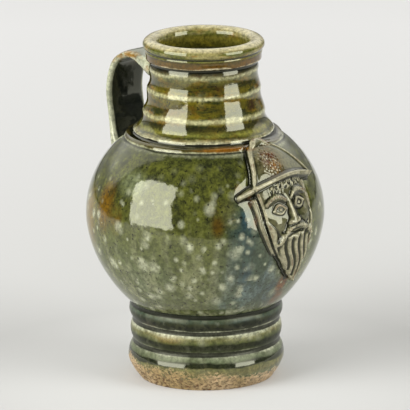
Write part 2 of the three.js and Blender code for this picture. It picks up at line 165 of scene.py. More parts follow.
@dataclass
class Pot:
    """The thrown pot: foot, belly, ribbed neck, collar and rolled lip, with its hollow inside.

    Fields:
        base_ring: height, height of its crest, radius of its crest, and radius of the groove over it.
        middle_ring: height, radius of its crest, and radius of the groove over it.
        upper_ring: height, radius of its crest, and radius of the crease where the belly starts.
        lower_fullness: power of the belly's lower curve, where 2 is an ellipse.
        upper_fullness: power of its upper curve.
        rib_pitches: height of each rib over the one below, the first over the neck's root.
        rib_hollows: depth of the hollow over each of the first three ribs.
        flat_radius: how much of the underside's middle is left quite flat.
        row_spacing: height of a coarse cell of the mesh.
        columns: how many coarse cells go round.
        split: how many fine cells a coarse one is cut into each way on the mask.
        inner_spacing: height of a row of the hollow's mesh.
    """

    rest_radius: float = 32.3
    base_ring: tuple[float, float, float, float] = (18.2, 10.4, 37.5, 34.8)
    middle_ring: tuple[float, float, float] = (10.4, 36.5, 35.0)
    upper_ring: tuple[float, float, float] = (8.2, 37.0, 36.0)
    belly_height: float = 83.4
    belly_radius: float = 57.1
    widest_height: float = 43.2
    lower_fullness: float = 1.8
    upper_fullness: float = 2.0
    bead_spread: float = 3.1
    bead_drop: float = 1.5
    bead_height: float = 1.9
    rib_pitches: tuple[float, ...] = (1.3, 9.2, 10.7, 9.8)
    rib_radii: tuple[float, ...] = (34.1, 29.5, 27.5, 26.4)
    rib_hollows: tuple[float, ...] = (1.7, 0.9, 0.9)
    groove_height: float = 4.2
    groove_radius: float = 25.5
    collar_radius: float = 28.0
    collar_height: float = 4.3
    line_height: float = 1.0
    line_depth: float = 0.6
    lip_radius: float = 29.1
    lip_width: float = 7.6
    lip_height: float = 1.4
    lip_rise: float = 3.3
    belly_wall: float = 5.2
    neck_wall: float = 4.3
    foot_wall: float = 6.3
    floor_thickness: float = 8.5
    floor_corner: float = 9.0
    flat_radius: float = 18.0
    row_spacing: float = 1.3
    columns: int = 250
    split: int = 4
    inner_spacing: float = 2.0

    def __post_init__(self) -> None:
        """Works out the levels that follow from the heights."""
        self.foot_height = self.base_ring[0] + self.middle_ring[0] + self.upper_ring[0]
        self.belly_level = self.foot_height + self.widest_height
        self.neck_level = self.foot_height + self.belly_height
        ribs = len(self.rib_pitches)
        self.rib_levels = [self.neck_level + sum(self.rib_pitches[: i + 1]) for i in range(ribs)]
        self.collar_level = self.rib_levels[-1] + self.groove_height
        self.incised_level = self.collar_level + self.collar_height
        self.lip_level = self.incised_level + self.line_height + self.lip_height
        self.shoulder = (self.rib_radii[0] + self.bead_spread + 1.3, self.neck_level - self.bead_drop * 1.9)
        self.lower_half = self._half_height(self.upper_ring[2], self.foot_height, self.lower_fullness)
        self.upper_half = self._half_height(*self.shoulder, self.upper_fullness)

    def _half_height(self, radius: float, level: float, fullness: float) -> float:
        """Half the height of the superellipse that passes through a radius and a level."""
        share = (1 - (radius / self.belly_radius) ** fullness) ** (1 / fullness)
        return abs(self.belly_level - level) / share

    def belly_at(self, level: np.ndarray | float, inset: float = 0.0) -> np.ndarray:
        """Radius of the belly.

        Args:
            level: height over the underside, mm.
            inset: how much thinner the pot is taken all round, mm.

        Returns:
            The radius, mm.
        """
        level = np.asarray(level, float)
        below = level < self.belly_level
        fullness = np.where(below, self.lower_fullness, self.upper_fullness)
        half = np.where(below, self.lower_half, self.upper_half) - inset
        share = np.clip(np.abs(level - self.belly_level) / half, 0, 1)
        return (self.belly_radius - inset) * (1 - share**fullness) ** (1 / fullness)

    def _ring(self, start: Pair, end: Pair, crest: float) -> list[Pair]:
        """Knots of a half-round ring between two grooves."""
        knots = [start]
        for t in (0.08, 0.25, 0.5, 0.75, 0.92):
            chord = start[0] + (end[0] - start[0]) * t
            swell = math.sin(math.pi * t) ** 0.8
            radius = chord + (crest - (start[0] + end[0]) / 2) * swell
            knots.append((radius, start[1] + (end[1] - start[1]) * t))
        return [*knots, end]

    def outside_sections(self) -> list[list[Pair]]:
        """Knots of the outer profile, one smooth stretch after another with a corner between.

        Returns:
            Lists of radius and level, from the centre of the underside to the crest of the lip.
        """
        height, crest_height, radius, groove = self.base_ring
        second = height + self.middle_ring[0]
        rest = self.rest_radius
        base = [
            (rest, 0.35),
            (rest + (radius - rest) * 0.5, crest_height * 0.38),
            (rest + (radius - rest) * 0.86, crest_height * 0.72),
            (radius, crest_height),
            (radius - (radius - groove) * 0.2, crest_height + (height - crest_height) * 0.45),
            (radius - (radius - groove) * 0.62, crest_height + (height - crest_height) * 0.8),
            (groove, height),
        ]
        middle = self._ring((groove, height), (self.middle_ring[2], second), self.middle_ring[1])
        crease = (self.upper_ring[2], self.foot_height)
        upper = self._ring((self.middle_ring[2], second), crease, self.upper_ring[1])
        levels = np.linspace(self.foot_height, self.shoulder[1], 25)[1:-1]
        belly = [crease, *((float(self.belly_at(z)), float(z)) for z in levels), self.shoulder]
        return [[(0, 0), (rest - 0.35, 0)], [(rest - 0.35, 0), (rest, 0.35)], base, middle, upper, belly,
                *self._neck_sections()]

    def _neck_sections(self) -> list[list[Pair]]:
        """Knots of the bead, the ribbed neck, the collar and the lip."""
        root = self.rib_radii[0]
        top = self.neck_level - self.bead_drop + self.bead_height / 2
        bead = [self.shoulder, (root + self.bead_spread + 0.5, top - 0.35), (root + self.bead_spread, top)]
        band = [(root + self.bead_spread, top), (root + self.bead_spread * 0.4, top + 0.35),
                (root - 0.5, self.neck_level + 0.1)]
        neck = [band[-1], (root, self.rib_levels[0] - 0.55), (root, self.rib_levels[0])]
        for i, hollow in enumerate(self.rib_hollows):
            low, high = self.rib_levels[i], self.rib_levels[i + 1]
            for t in (0.12, 0.3, 0.5, 0.7, 0.88):
                chord = self.rib_radii[i] + (self.rib_radii[i + 1] - self.rib_radii[i]) * t
                neck.append((chord - hollow * math.sin(math.pi * t), low + (high - low) * t))
            neck.append((self.rib_radii[i + 1], high))
        floor = self.collar_level - 0.9
        neck.append((self.groove_radius + 0.45, floor - 1.15))
        groove = [neck[-1], (self.groove_radius, floor - 0.55), (self.groove_radius, floor - 0.1),
                  (self.groove_radius + 0.5, floor + 0.2),
                  (self.collar_radius - 0.5, self.collar_level - 0.35)]
        line = self.incised_level + self.line_height / 2
        collar = [groove[-1], (self.collar_radius - 0.05, self.collar_level),
                  (self.collar_radius - 0.3, self.collar_level + 0.8),
                  (self.collar_radius - 0.1, self.incised_level - 1.2),
                  (self.collar_radius, self.incised_level - 0.3)]
        slit = [collar[-1], (self.collar_radius - self.line_depth, line)]
        centre = self.lip_radius - self.lip_width / 2
        roll = [slit[-1], (self.lip_radius - self.line_depth, line + self.line_height / 2)]
        for angle in range(0, 181, 15):
            turn = math.radians(angle)
            roll.append((centre + self.lip_width / 2 * math.cos(turn),
                         self.lip_level + self.lip_rise * math.sin(turn)))
        return [bead, band, neck, groove, collar, slit, roll]

    def inside_sections(self) -> list[list[Pair]]:
        """Knots of the hollow's profile, from the lip down to the centre of the floor."""
        inner = self.lip_radius - self.lip_width
        bore = self.groove_radius - self.neck_wall
        throat = self.rib_radii[0] - self.rib_hollows[0] - self.belly_wall
        share = math.sqrt(1 - (throat / (self.belly_radius - self.belly_wall)) ** 2)
        dome_top = self.belly_level + (self.upper_half - self.belly_wall) * share
        knots = [(inner, self.lip_level), (bore, self.lip_level - self.lip_rise),
                 (bore, self.rib_levels[2]),
                 (self.rib_radii[1] - self.rib_hollows[1] - self.belly_wall, self.rib_levels[1])]
        for level in np.linspace(dome_top, self.foot_height + 2, 14):
            knots.append((float(self.belly_at(level, self.belly_wall)), float(level)))
        well = min(self.base_ring[3], self.middle_ring[2]) - self.foot_wall
        corner = self.floor_corner
        for angle in (0, 22, 45, 67, 90):
            turn = math.radians(angle)
            radius = well - corner * (1 - math.cos(turn))
            knots.append((radius, self.floor_thickness + corner * (1 - math.sin(turn))))
        return [knots, [(well - corner, self.floor_thickness), (0, self.floor_thickness)]]


@dataclass
class Mask:
    """The sprigged mask: a calm bearded man in a slouched, wide-brimmed hat.

    The face is laid out on the usual proportions: five eyes wide, and three equal thirds from the
    hairline to the chin. A place on the sprig is given in mm from the bridge of the nose, a to the
    viewer's right and b up the face. The bends inside a feature are its drawing, given in the same mm.

    Fields:
        rise: height of the bridge of the nose over the belly's widest level, along the wall.
        tilt: how far the head leans, radians.
        edge: width of the step round the sprig.
        dent_depth: how deep the wall was pressed in round the sprig.
        dent_reach: how far that dent slopes off.
        beard_lean: how far the beard's tip hangs to the side.
        beard_strands: how many wide strands the beard has on each side.
        brim_stand: how much of the ground's height the brim adds to its own.
        crown_flare: how much wider the crown is at the brim than higher up.
        span: half of the width that the sprig and its dent may take.
        below: how far they may reach down from the bridge.
        above: how far up.
    """

    rise: float = 10.2
    tilt: float = math.radians(8)
    edge: float = 1.0
    dent_depth: float = 1.4
    dent_reach: float = 4.5
    face_width: float = 29.4
    face_relief: float = 2.3
    face_crown: float = 1.5
    nose_relief: float = 2.4
    beard_top: float = -2.0
    beard_length: float = 34.5
    beard_lean: float = 0.4
    beard_relief: float = 0.8
    beard_strands: float = 3.5
    strand_depth: float = 1.15
    lock_relief: float = 1.5
    lock_width: float = 3.0
    lock_left: float = 19.0
    lock_right: float = 9.0
    strand_pitch: float = 0.95
    brim_level: float = 15.5
    brim_left: float = 24.5
    brim_right: float = 25.5
    brim_arch: float = 3.6
    brim_droop: float = 3.0
    brim_width: float = 5.2
    brim_relief: float = 3.2
    brim_stand: float = 0.45
    crown_height: float = 22.0
    crown_peak: float = 2.5
    crown_left: float = 12.8
    crown_flare: float = 5.5
    crown_right: float = 23.0
    crown_relief: float = 2.5
    crown_swell: float = 1.6
    span: float = 34.0
    below: float = 42.0
    above: float = 44.0

    def __post_init__(self) -> None:
        """Lays out the face."""
        self.eye_width = self.face_width / 5
        self.third = self.face_width * 0.4
        self.brow_level = self.third * 0.5
        self.eye_level = self.brow_level - self.third * 0.32
        self.nose_base = self.brow_level - self.third
        self.mouth_level = self.nose_base - self.third / 3

    @staticmethod
    def bump(a: np.ndarray, b: np.ndarray, centre: Pair, radius_a: float, radius_b: float) -> np.ndarray:
        """A rounded bump of unit height."""
        return np.exp(-(((a - centre[0]) / radius_a) ** 2) - ((b - centre[1]) / radius_b) ** 2)

    @staticmethod
    def stroke(a: np.ndarray, b: np.ndarray, knots: Sequence[Pair], half_width: float, taper: float = 0.0,
               flat: float = 2.0) -> np.ndarray:
        """A ridge of unit height along a quadratic curve.

        Args:
            a: places across.
            b: places up.
            knots: start, bend and end of the curve.
            half_width: half the ridge's width, mm.
            taper: how much thinner it is at its ends, 0 to 1.
            flat: power of the falloff; a higher one has a flatter top and steeper sides.

        Returns:
            The height, 0 to 1.
        """
        start, bend, end = (np.array(k, float) for k in knots)
        pieces = 12
        best = np.zeros_like(a)
        for i in range(pieces):
            t0, t1 = i / pieces, (i + 1) / pieces
            p0 = (1 - t0) ** 2 * start + 2 * t0 * (1 - t0) * bend + t0**2 * end
            p1 = (1 - t1) ** 2 * start + 2 * t1 * (1 - t1) * bend + t1**2 * end
            run = p1 - p0
            share = np.clip(((a - p0[0]) * run[0] + (b - p0[1]) * run[1]) / (run @ run), 0, 1)
            apart = np.hypot(a - p0[0] - share * run[0], b - p0[1] - share * run[1])
            width = half_width * (1 - taper * np.abs(2 * (i + share) / pieces - 1))
            best = np.maximum(best, np.exp(-((apart / width) ** flat)))
        return best

    def outline(self, b: np.ndarray) -> tuple[np.ndarray, np.ndarray]:
        """Half width and middle of head and beard at a height on the sprig."""
        run = np.clip((self.beard_top - b) / self.beard_length, 0, 1)
        return self.face_width / 2 * (1 - run**1.7), self.beard_lean * run**2

    def plate(self, a: np.ndarray, b: np.ndarray) -> np.ndarray:
        """The raised and gently domed ground of the face and beard."""
        half, middle = self.outline(b)
        inside = half - np.abs(a - middle)
        dome = 1 - ((a - middle) / np.maximum(half, 0.5)) ** 2
        height = self.face_relief * smoothstep(0, self.edge, inside) + self.face_crown * np.clip(dome, 0, 1)
        return np.where((inside > 0) & (b < self.brim_line(a)[0] + 0.5), height, 0)

    def beard(self, a: np.ndarray, b: np.ndarray) -> np.ndarray:
        """The beard, cut into wide strands with finer hairs on each."""
        half, middle = self.outline(b)
        cheek = self.mouth_level - 1 + self.third * np.abs(2 * a / self.face_width) ** 2.2
        grown = smoothstep(0, 1.6, cheek - b)
        across = (a - middle) / (half / 2 + self.face_width / 4)
        sway = 0.05 * np.sin(b / 2.7 + 1.3)
        wave = 0.5 - 0.5 * np.cos(2 * math.pi * self.beard_strands * (across + sway))
        hairs = 0.5 - 0.5 * np.cos(2 * math.pi * self.beard_strands * 3 * (across + 0.7 * sway))
        cut = self.strand_depth * wave**1.6 + 0.16 * hairs
        return grown * (self.beard_relief - cut * smoothstep(1, 4, half))

    def nose(self, side: np.ndarray, b: np.ndarray) -> np.ndarray:
        """A straight nose with its wings and nostrils."""
        down = np.clip((self.brow_level - b) / self.third, 0, 1)
        half_width = (0.22 + 0.18 * down) * self.eye_width
        along = smoothstep(self.nose_base - 0.3, self.nose_base + 0.9, b)
        along = along * (1 - smoothstep(self.brow_level - 1, self.brow_level + 3, b))
        ridge = (0.25 + 0.75 * down) * np.exp(-((side / half_width) ** 2.4)) * along
        wing = self.bump(side, b, (self.eye_width * 0.46, self.nose_base + 1.5), 1.15, 1.2)
        nostril = self.bump(side, b, (self.eye_width * 0.26, self.nose_base - 0.1), 0.8, 0.5)
        fold = self.stroke(side, b, [(3.4, self.nose_base + 2.6), (5.4, self.nose_base + 0.6),
                                     (6.4, self.nose_base - 2)], 0.55)
        return self.nose_relief * ridge + 1.1 * wing - 0.8 * nostril - 0.35 * fold

    def eye(self, side: np.ndarray, b: np.ndarray) -> np.ndarray:
        """An open eye with its socket, ball, lids, iris ring and brow."""
        wide, level = self.eye_width, self.eye_level
        inner, outer = (wide * 0.52, level - 0.2), (wide * 1.56, level + 0.1)
        socket = self.bump(side, b, (wide, level + 0.3), wide * 0.74, wide * 0.55)
        ball = self.bump(side, b, (wide, level), wide * 0.42, wide * 0.29)
        far = np.hypot(side - wide, b - level)
        iris = np.exp(-(((far - 1.05) / 0.28) ** 2))
        upper = self.stroke(side, b, [inner, (wide, level + 4.3), outer], 0.55)
        lid_line = [(wide * 0.5, level + 1.2), (wide, level + 5.9), (wide * 1.6, level + 1)]
        crease = self.stroke(side, b, lid_line, 0.3)
        lower = self.stroke(side, b, [inner, (wide, level - 3.4), outer], 0.5)
        brow_line = [(2, self.brow_level - 0.2), (wide, self.brow_level + 4.2), (wide * 2, self.brow_level)]
        brow = self.stroke(side, b, brow_line, 1.25, 0.4)
        nicks = 0.5 - 0.5 * np.cos(2 * math.pi * (side * 0.8 + b * 0.35) / 1.1)
        return (1.7 * ball - 1.35 * socket - 0.35 * iris + 0.95 * upper + 0.7 * lower - 0.3 * crease
                + brow * (1.25 - 0.3 * nicks))

    def mouth(self, side: np.ndarray, b: np.ndarray) -> np.ndarray:
        """A closed mouth under a moustache that hangs down beside it."""
        corner = (self.face_width * 0.15, self.mouth_level - 0.35)
        bow = (corner[0] / 2, self.mouth_level + 0.3)
        line = self.stroke(side, b, [(0, self.mouth_level), bow, corner], 0.4)
        lower = self.bump(side, b, (0, self.mouth_level - 1.5), 3, 0.95)
        start = (0.9, self.nose_base - 1.1)
        end = (self.face_width * 0.34, self.mouth_level - self.third * 0.28)
        bend = (self.face_width * 0.17, self.nose_base - 0.6)
        moustache = self.stroke(side, b, [start, bend, end], 1.6, 0.45)
        hairs = 0.5 - 0.5 * np.cos(2 * math.pi * (side * 0.75 - b * 0.45) / 1.15)
        dip = self.bump(side, b, (0, self.nose_base - 1.6), 0.6, 1.4)
        return 0.95 * lower + moustache * (1.95 - 0.45 * hairs) - 0.95 * line - 0.4 * dip

    def locks(self, a: np.ndarray, b: np.ndarray) -> np.ndarray:
        """Locks of hair that hug the head below the brim, drawn in fine strands with ragged ends."""
        half, middle = self.outline(b)
        out = np.abs(a - middle) - half
        length = np.where(a < 0, self.lock_left, self.lock_right)
        width = self.lock_width * (1 - 0.35 * smoothstep(4, -length, b))
        band = smoothstep(-0.6, 0.3, out) * (1 - smoothstep(width - 0.8, width + 0.1, out))
        ragged = b + 0.9 * np.sin(4.2 * out)
        fall = smoothstep(-length - 0.6, 0.8 - length, ragged) * (1 - smoothstep(9, 12, b))
        strands = 0.5 - 0.5 * np.cos(2 * math.pi * (out + 0.04 * b) / self.strand_pitch)
        return band * fall * (self.lock_relief - 0.5 * strands)

    def fringe(self, a: np.ndarray, b: np.ndarray) -> np.ndarray:
        """Short curls on the forehead, just under the brim."""
        under = self.brim_line(a)[0] - self.brim_width / 2 - b
        row = np.exp(-(((under - 1.2) / 1.3) ** 2)) * (1 - smoothstep(8, 11, np.abs(a - 1.5)))
        twist = 0.7 * np.sin(0.9 * a + 1.0) + 0.5 * np.sin(2.3 * a - b)
        along, down = (a + 0.6 * under + twist) / 2.9, (under + twist) / 2.6
        return 0.8 * row * np.cos(2 * math.pi * along) * np.cos(math.pi * down)

    def brim_line(self, a: np.ndarray) -> tuple[np.ndarray, np.ndarray]:
        """The brim's middle height, and how far along it a place is, from -1 to 1."""
        left, right = self.brim_left + self.crown_peak, self.brim_right - self.crown_peak
        along = (a - self.crown_peak) / np.where(a < self.crown_peak, left, right)
        droop = self.brim_arch + np.where(along > 0, self.brim_droop, 0)
        return self.brim_level - droop * along**2, along

    def crown(self, a: np.ndarray, b: np.ndarray) -> np.ndarray:
        """The slouched crown: round left of its peak, sloping off to the right, with a worn patch."""
        up = b - self.brim_line(a)[0]
        rise = up / self.crown_height
        left_half = self.crown_left + self.crown_flare * np.clip(1 - rise, 0, 1) ** 3
        share = np.maximum(np.hypot((self.crown_peak - a) / left_half, rise), 1e-3)
        left = np.hypot(a - self.crown_peak, up) * (1 / share - 1)
        out = np.clip((a - self.crown_peak) / self.crown_right, 0, 1.2)
        slope = 1.5 * np.sqrt(out) * self.crown_height / self.crown_right
        right = (1 - out**1.5 - rise) * self.crown_height / np.hypot(1, slope)
        inside = np.where(a < self.crown_peak, left, right)
        middle = (self.crown_peak - 1, self.brim_level + self.crown_height * 0.38)
        swell = self.bump(a, b, middle, 10, 9) * smoothstep(0, 5, inside)
        rim = np.exp(-(((inside - 1.5) / 1.1) ** 2))
        worn = self.bump(a, b, (0.5, self.brim_level + 9), 4.5, 6)
        grain = np.sin(a * 2.6 + 1.7 * np.sin(b * 1.3)) * np.sin(b * 2.2 + 1.4 * np.sin(a * 1.7))
        height = self.crown_relief * smoothstep(0, self.edge, inside) + self.crown_swell * swell
        height = height + 0.6 * rim + worn * (0.35 * grain - 0.6)
        return np.where((inside > 0) & (up > 0), height, 0)

    def brim(self, a: np.ndarray, b: np.ndarray, ground: np.ndarray) -> np.ndarray:
        """The brim, seen edge on: a ridge over hat and head that thins to its tips, with cut lines."""
        level, along = self.brim_line(a)
        off = b - level
        half = self.brim_width / 2 * (1 - 0.6 * np.clip(along**2, 0, 1))
        ridge = np.exp(-(np.abs(off / half) ** 2.6)) * smoothstep(0, 0.08, 1 - np.abs(along))
        cuts = 0.6 * np.exp(-(((off - 1.0) / 0.4) ** 2)) + 0.4 * np.exp(-(((off + 1.5) / 0.35) ** 2))
        tall = self.brim_relief + self.brim_stand * ground
        return np.maximum(ground, ridge * tall) - cuts * ridge

    def relief(self, a: np.ndarray, b: np.ndarray) -> np.ndarray:
        """Height of the mask over the pot.

        Args:
            a: places across, mm to the viewer's right.
            b: places up, mm from the bridge of the nose.

        Returns:
            The height, mm.
        """
        plate = self.plate(a, b)
        side = np.abs(a)
        cheek = 0.9 * self.bump(side, b, (self.face_width * 0.29, self.nose_base + 2.4), 3.6, 3.6)
        features = self.nose(side, b) + self.eye(side, b) + self.mouth(side, b) + cheek
        face = np.where(plate > 0, plate + self.beard(a, b) + features * smoothstep(0.5, 2.5, plate), 0)
        face = face + np.where(plate > 0.5, self.fringe(a, b), 0)
        ground = np.maximum(np.maximum(face, self.crown(a, b)), self.locks(a, b))
        return np.maximum(self.brim(a, b, ground), 0)


@dataclass
class Strap:
    """The pulled strap handle, from the neck under the collar to the shoulder.

    Fields:
        finger_room: clear space between the strap and the neck where it stands out most.
        top_reach: how far out from its upper root its highest point is.
        top_drop: how far under the collar that point is.
        neck_drop: how far under the collar its upper root is.
        neck_root: width and thickness at that root, and the length over which they fade.
        shoulder_drop: how far under the neck's root its lower root is.
        shoulder_root: the same three sizes there.
        widest_drop: how far under the collar it stands out most.
        root_depth: how deep the roots reach into the wall.
        stations: how many stretches its length is cut into.
        sides: how many its section is cut into.
        squareness: power of the section, where 1 is an ellipse and less is squarer.
    """

    width: float = 22.5
    thickness: float = 4.6
    finger_room: float = 23.6
    top_reach: float = 15.5
    top_drop: float = 3.8
    neck_drop: float = 7.2
    neck_root: tuple[float, float, float] = (27.0, 12.0, 9.0)
    shoulder_drop: float = 15.7
    shoulder_root: tuple[float, float, float] = (26.5, 9.0, 9.0)
    widest_drop: float = 23.5
    root_depth: float = 2.6
    stations: int = 84
    sides: int = 44
    squareness: float = 0.62

    def path(self, pot: Pot) -> np.ndarray:
        """The strap's centre line, as radius and level in the plane through the pot's axis.

        Args:
            pot: the pot that carries it.

        Returns:
            One pair for each station.
        """
        neck = (float(pot.rib_radii[3]), pot.collar_level - self.neck_drop)
        level = pot.neck_level - self.shoulder_drop
        low = (float(pot.belly_at(level)), level)
        top = (neck[0] + self.top_reach, pot.collar_level - self.top_drop)
        farthest = pot.rib_radii[1] + self.finger_room + self.thickness / 2
        widest = (farthest, pot.collar_level - self.widest_drop)

        def between(p: Pair, q: Pair, across: float, down: float) -> Pair:
            """A point part of the way from p to q."""
            return (p[0] + (q[0] - p[0]) * across, p[1] + (q[1] - p[1]) * down)

        knots = [(neck[0] - self.root_depth, neck[1]), between(neck, top, 0.35, 0.55), top,
                 between(top, widest, 0.72, 0.28), widest, between(widest, low, 0.28, 0.55),
                 (low[0] + self.thickness * 0.35, low[1] + self.thickness * 0.75),
                 (low[0] - self.root_depth, low[1] - self.root_depth)]
        return flowing(knots, self.stations)

    def mesh(self, pot: Pot) -> tuple[np.ndarray, Faces, np.ndarray]:
        """Skins the strap.

        Args:
            pot: the pot that carries it.

        Returns:
            Vertices in mm, faces, and how proud each vertex stands.
        """
        line = self.path(pot)
        run = np.concatenate([[0], np.cumsum(np.linalg.norm(np.diff(line, axis=0), axis=1))])
        along = np.gradient(line, axis=0)
        along /= np.linalg.norm(along, axis=1)[:, None]
        out = np.column_stack([-along[:, 1], along[:, 0]])
        angles = np.linspace(0, 2 * math.pi, self.sides, endpoint=False)
        x = np.sign(np.cos(angles)) * np.abs(np.cos(angles)) ** self.squareness
        y = np.sign(np.sin(angles)) * np.abs(np.sin(angles)) ** self.squareness
        rows, proud = [], []
        for i, (radius, level) in enumerate(line):
            at_neck = math.exp(-((run[i] / self.neck_root[2]) ** 2))
            at_low = math.exp(-(((run[-1] - run[i]) / self.shoulder_root[2]) ** 2))
            width = self.width + (self.neck_root[0] - self.width) * at_neck
            width += (self.shoulder_root[0] - self.width) * at_low
            thick = self.thickness + (self.neck_root[1] - self.thickness) * at_neck
            thick += (self.shoulder_root[1] - self.thickness) * at_low
            wave = 0.25 * math.sin(run[i] / 9.0) + 0.15 * math.sin(run[i] / 4.1 + 1)
            dished = -0.35 * np.cos(x * math.pi / 2) * np.sign(y) * (1 - at_neck) * (1 - at_low)
            high = y * thick / 2 + dished
            across = x * (width / 2) + wave
            rows.append(np.column_stack([across, radius + high * out[i, 0], level + high * out[i, 1]]))
            proud.append(smoothstep(0.78, 1.0, np.abs(x)) * (1 - 0.6 * at_neck))
        count = self.sides
        faces: Faces = []
        for i in range(len(rows) - 1):
            for j in range(count):
                k = (j + 1) % count
                faces.append((i * count + j, i * count + k, (i + 1) * count + k, (i + 1) * count + j))
        last = (len(rows) - 1) * count
        faces.append(tuple(reversed(range(count))))
        faces.append(tuple(range(last, last + count)))
        return np.vstack(rows), faces, np.concatenate(proud)


@dataclass
class Carafe:
    """The whole fired piece: pot, mask and strap joined in one skin.

    Each vertex carries how proud it stands of what is round it, which the glaze reads: it runs off
    what is proud and pools in what is cut.

    Fields:
        profile_reach: how much of the pot's profile a place is compared with, mm.
        profile_gain: how much that counts.
        sprig_reach: how far round a place on the mask it is compared, mm.
        sprig_gain: how much that counts.
    """

    pot: Pot = field(default_factory=Pot)
    mask: Mask = field(default_factory=Mask)
    strap: Strap = field(default_factory=Strap)
    profile_reach: float = 2.2
    profile_gain: float = 1.6
    sprig_reach: float = 1.1
    sprig_gain: float = 1.9

    def _profile(self, sections: list[list[Pair]], spacing: float, split: int) -> np.ndarray:
        """Resamples a profile so that each section's ends fall on whole rows."""
        rows: list[np.ndarray] = []
        for knots in sections:
            p = np.array(knots, float)
            length = float(np.linalg.norm(np.diff(p, axis=0), axis=1).sum())
            steps = max(1, round(length / spacing)) * split
            line = flowing(knots, steps)
            rows.append(line if not rows else line[1:])
        return np.vstack(rows)

    def _unevenness(self, angle: np.ndarray, level: np.ndarray) -> np.ndarray:
        """How far the thrower's fingers left the wall out of round, mm."""
        pot = self.pot
        foot = np.exp(-(((level - pot.foot_height - 3.2) / 10) ** 2))
        spiral = np.sin(2 * math.pi * level / 2.6 + angle)
        waver = 0.10 * np.sin(2 * angle + level / 14) + 0.06 * np.sin(3 * angle - level / 9 + 2)
        neck = smoothstep(pot.neck_level - 1.2, pot.neck_level + 3.8, level)
        neck = neck * (1 - smoothstep(pot.rib_levels[-1] - 1.2, pot.rib_levels[-1] + 1.8, level))
        wander = neck * 0.22 * np.sin(angle + 2 * math.pi * level / 10.3 + 0.6)
        low_bead = np.exp(-(((level - pot.neck_level + 0.6) / 1.8) ** 2) - ((angle - 0.65) / 0.45) ** 2)
        loose = waver + 0.05 * foot * spiral + wander - 0.2
        collar = smoothstep(pot.collar_level + 1.6, pot.collar_level + 5.6, level)
        return loose * (1 - collar) - 1.4 * low_bead

    def _outer(self) -> tuple[Any, ...]:
        """The outer skin, fine where the mask is.

        Returns:
            Vertices in mm, faces, how proud each vertex stands, how far each is on the sprig, and the
            vertices of the last row.
        """
        pot, split = self.pot, self.pot.split
        line = self._profile(pot.outside_sections(), pot.row_spacing, split)
        run = np.concatenate([[0], np.cumsum(np.linalg.norm(np.diff(line, axis=0), axis=1))])
        along = np.gradient(line, run, axis=0)
        normal = np.column_stack([along[:, 1], -along[:, 0]])
        normal /= np.linalg.norm(normal, axis=1)[:, None]
        columns = pot.columns * split
        angle = (np.arange(columns) - columns / 2) * 2 * math.pi / columns
        belly_start = np.argmax(line[:, 1] > pot.belly_level)
        bridge = np.interp(pot.belly_level + self.mask.rise, line[belly_start:, 1], run[belly_start:])
        radius, level = line[:, 0][:, None], line[:, 1][:, None]
        up = (run - bridge)[:, None]
        sideways = angle[None, :] * np.maximum(radius, 1)
        cos, sin = math.cos(self.mask.tilt), math.sin(self.mask.tilt)
        a = sideways * cos + up * sin
        b = up * cos - sideways * sin
        near = (np.abs(a) < self.mask.span) & (b > -self.mask.below) & (b < self.mask.above)
        near &= (level > pot.foot_height + 8.2) & (level < pot.neck_level + 2)
        height = np.zeros_like(a)
        height[near] = self.mask.relief(a[near], b[near])
        dent = self._dent(height, run, angle)
        ring = np.zeros_like(height)
        turns = 8
        for turn in np.arange(turns) * 2 * math.pi / turns:
            across, upward = self.sprig_reach * math.cos(turn), self.sprig_reach * math.sin(turn)
            ring[near] += self.mask.relief(a[near] + across, b[near] + upward) / turns
        smooth = self._softened(line[:, 0], run, self.profile_reach)
        proud = np.broadcast_to((line[:, 0] - smooth)[:, None] * self.profile_gain, height.shape)
        on_sprig = smoothstep(0.05, 0.6, height)
        raised = near & ((height > 0.02) | (ring > 0.05))
        proud = np.where(raised, (height - ring) * self.sprig_gain, proud)
        pressed = height - dent * (1 - smoothstep(0, 1.2, height))
        loose = self._unevenness(angle[None, :], level)
        lift = pressed + loose * (radius > pot.flat_radius) * (level > 1)
        x_radius = radius + normal[:, 0][:, None] * lift
        z = level + normal[:, 1][:, None] * lift
        fine = self._fine_cells(np.maximum(height, dent - 0.2), split)
        return self._grid(x_radius, z, angle, fine, proud, on_sprig, split)

    def _dent(self, height: np.ndarray, run: np.ndarray, angle: np.ndarray) -> np.ndarray:
        """How deep the wall was pressed in round the sprig, sloping off over a few mm."""
        dent = (height > 0.3).astype(float)
        across = (angle[1] - angle[0]) * self.pot.belly_radius
        upward = float(np.median(np.diff(run[run > self.pot.belly_height])))
        for axis, step in ((1, across), (0, upward)):
            half = int(3 * self.mask.dent_reach / step)
            weight = np.exp(-((np.arange(-half, half + 1) * step / self.mask.dent_reach) ** 2))
            weight /= weight.sum()
            lines = np.moveaxis(dent, axis, -1)
            near = lines.max(axis=-1) > 0
            soft = np.zeros_like(lines)
            soft[near] = [np.convolve(row, weight, mode="same") for row in lines[near]]
            dent = np.moveaxis(soft, -1, axis)
        return self.mask.dent_depth * smoothstep(0.02, 0.9, dent)

    @staticmethod
    def _softened(values: np.ndarray, run: np.ndarray, reach: float) -> np.ndarray:
        """Values along a profile, averaged over a reach in mm."""
        step = 0.2
        even = np.arange(0, run[-1], step)
        flat = np.interp(even, run, values)
        span = np.arange(-3 * reach, 3 * reach + step / 2, step)
        weight = np.exp(-((span / reach) ** 2))
        padded = np.pad(flat, len(span) // 2, mode="edge")
        soft = np.convolve(padded, weight / weight.sum(), mode="same")[len(span) // 2 : -(len(span) // 2)]
        return np.interp(run, even, soft[: len(even)])

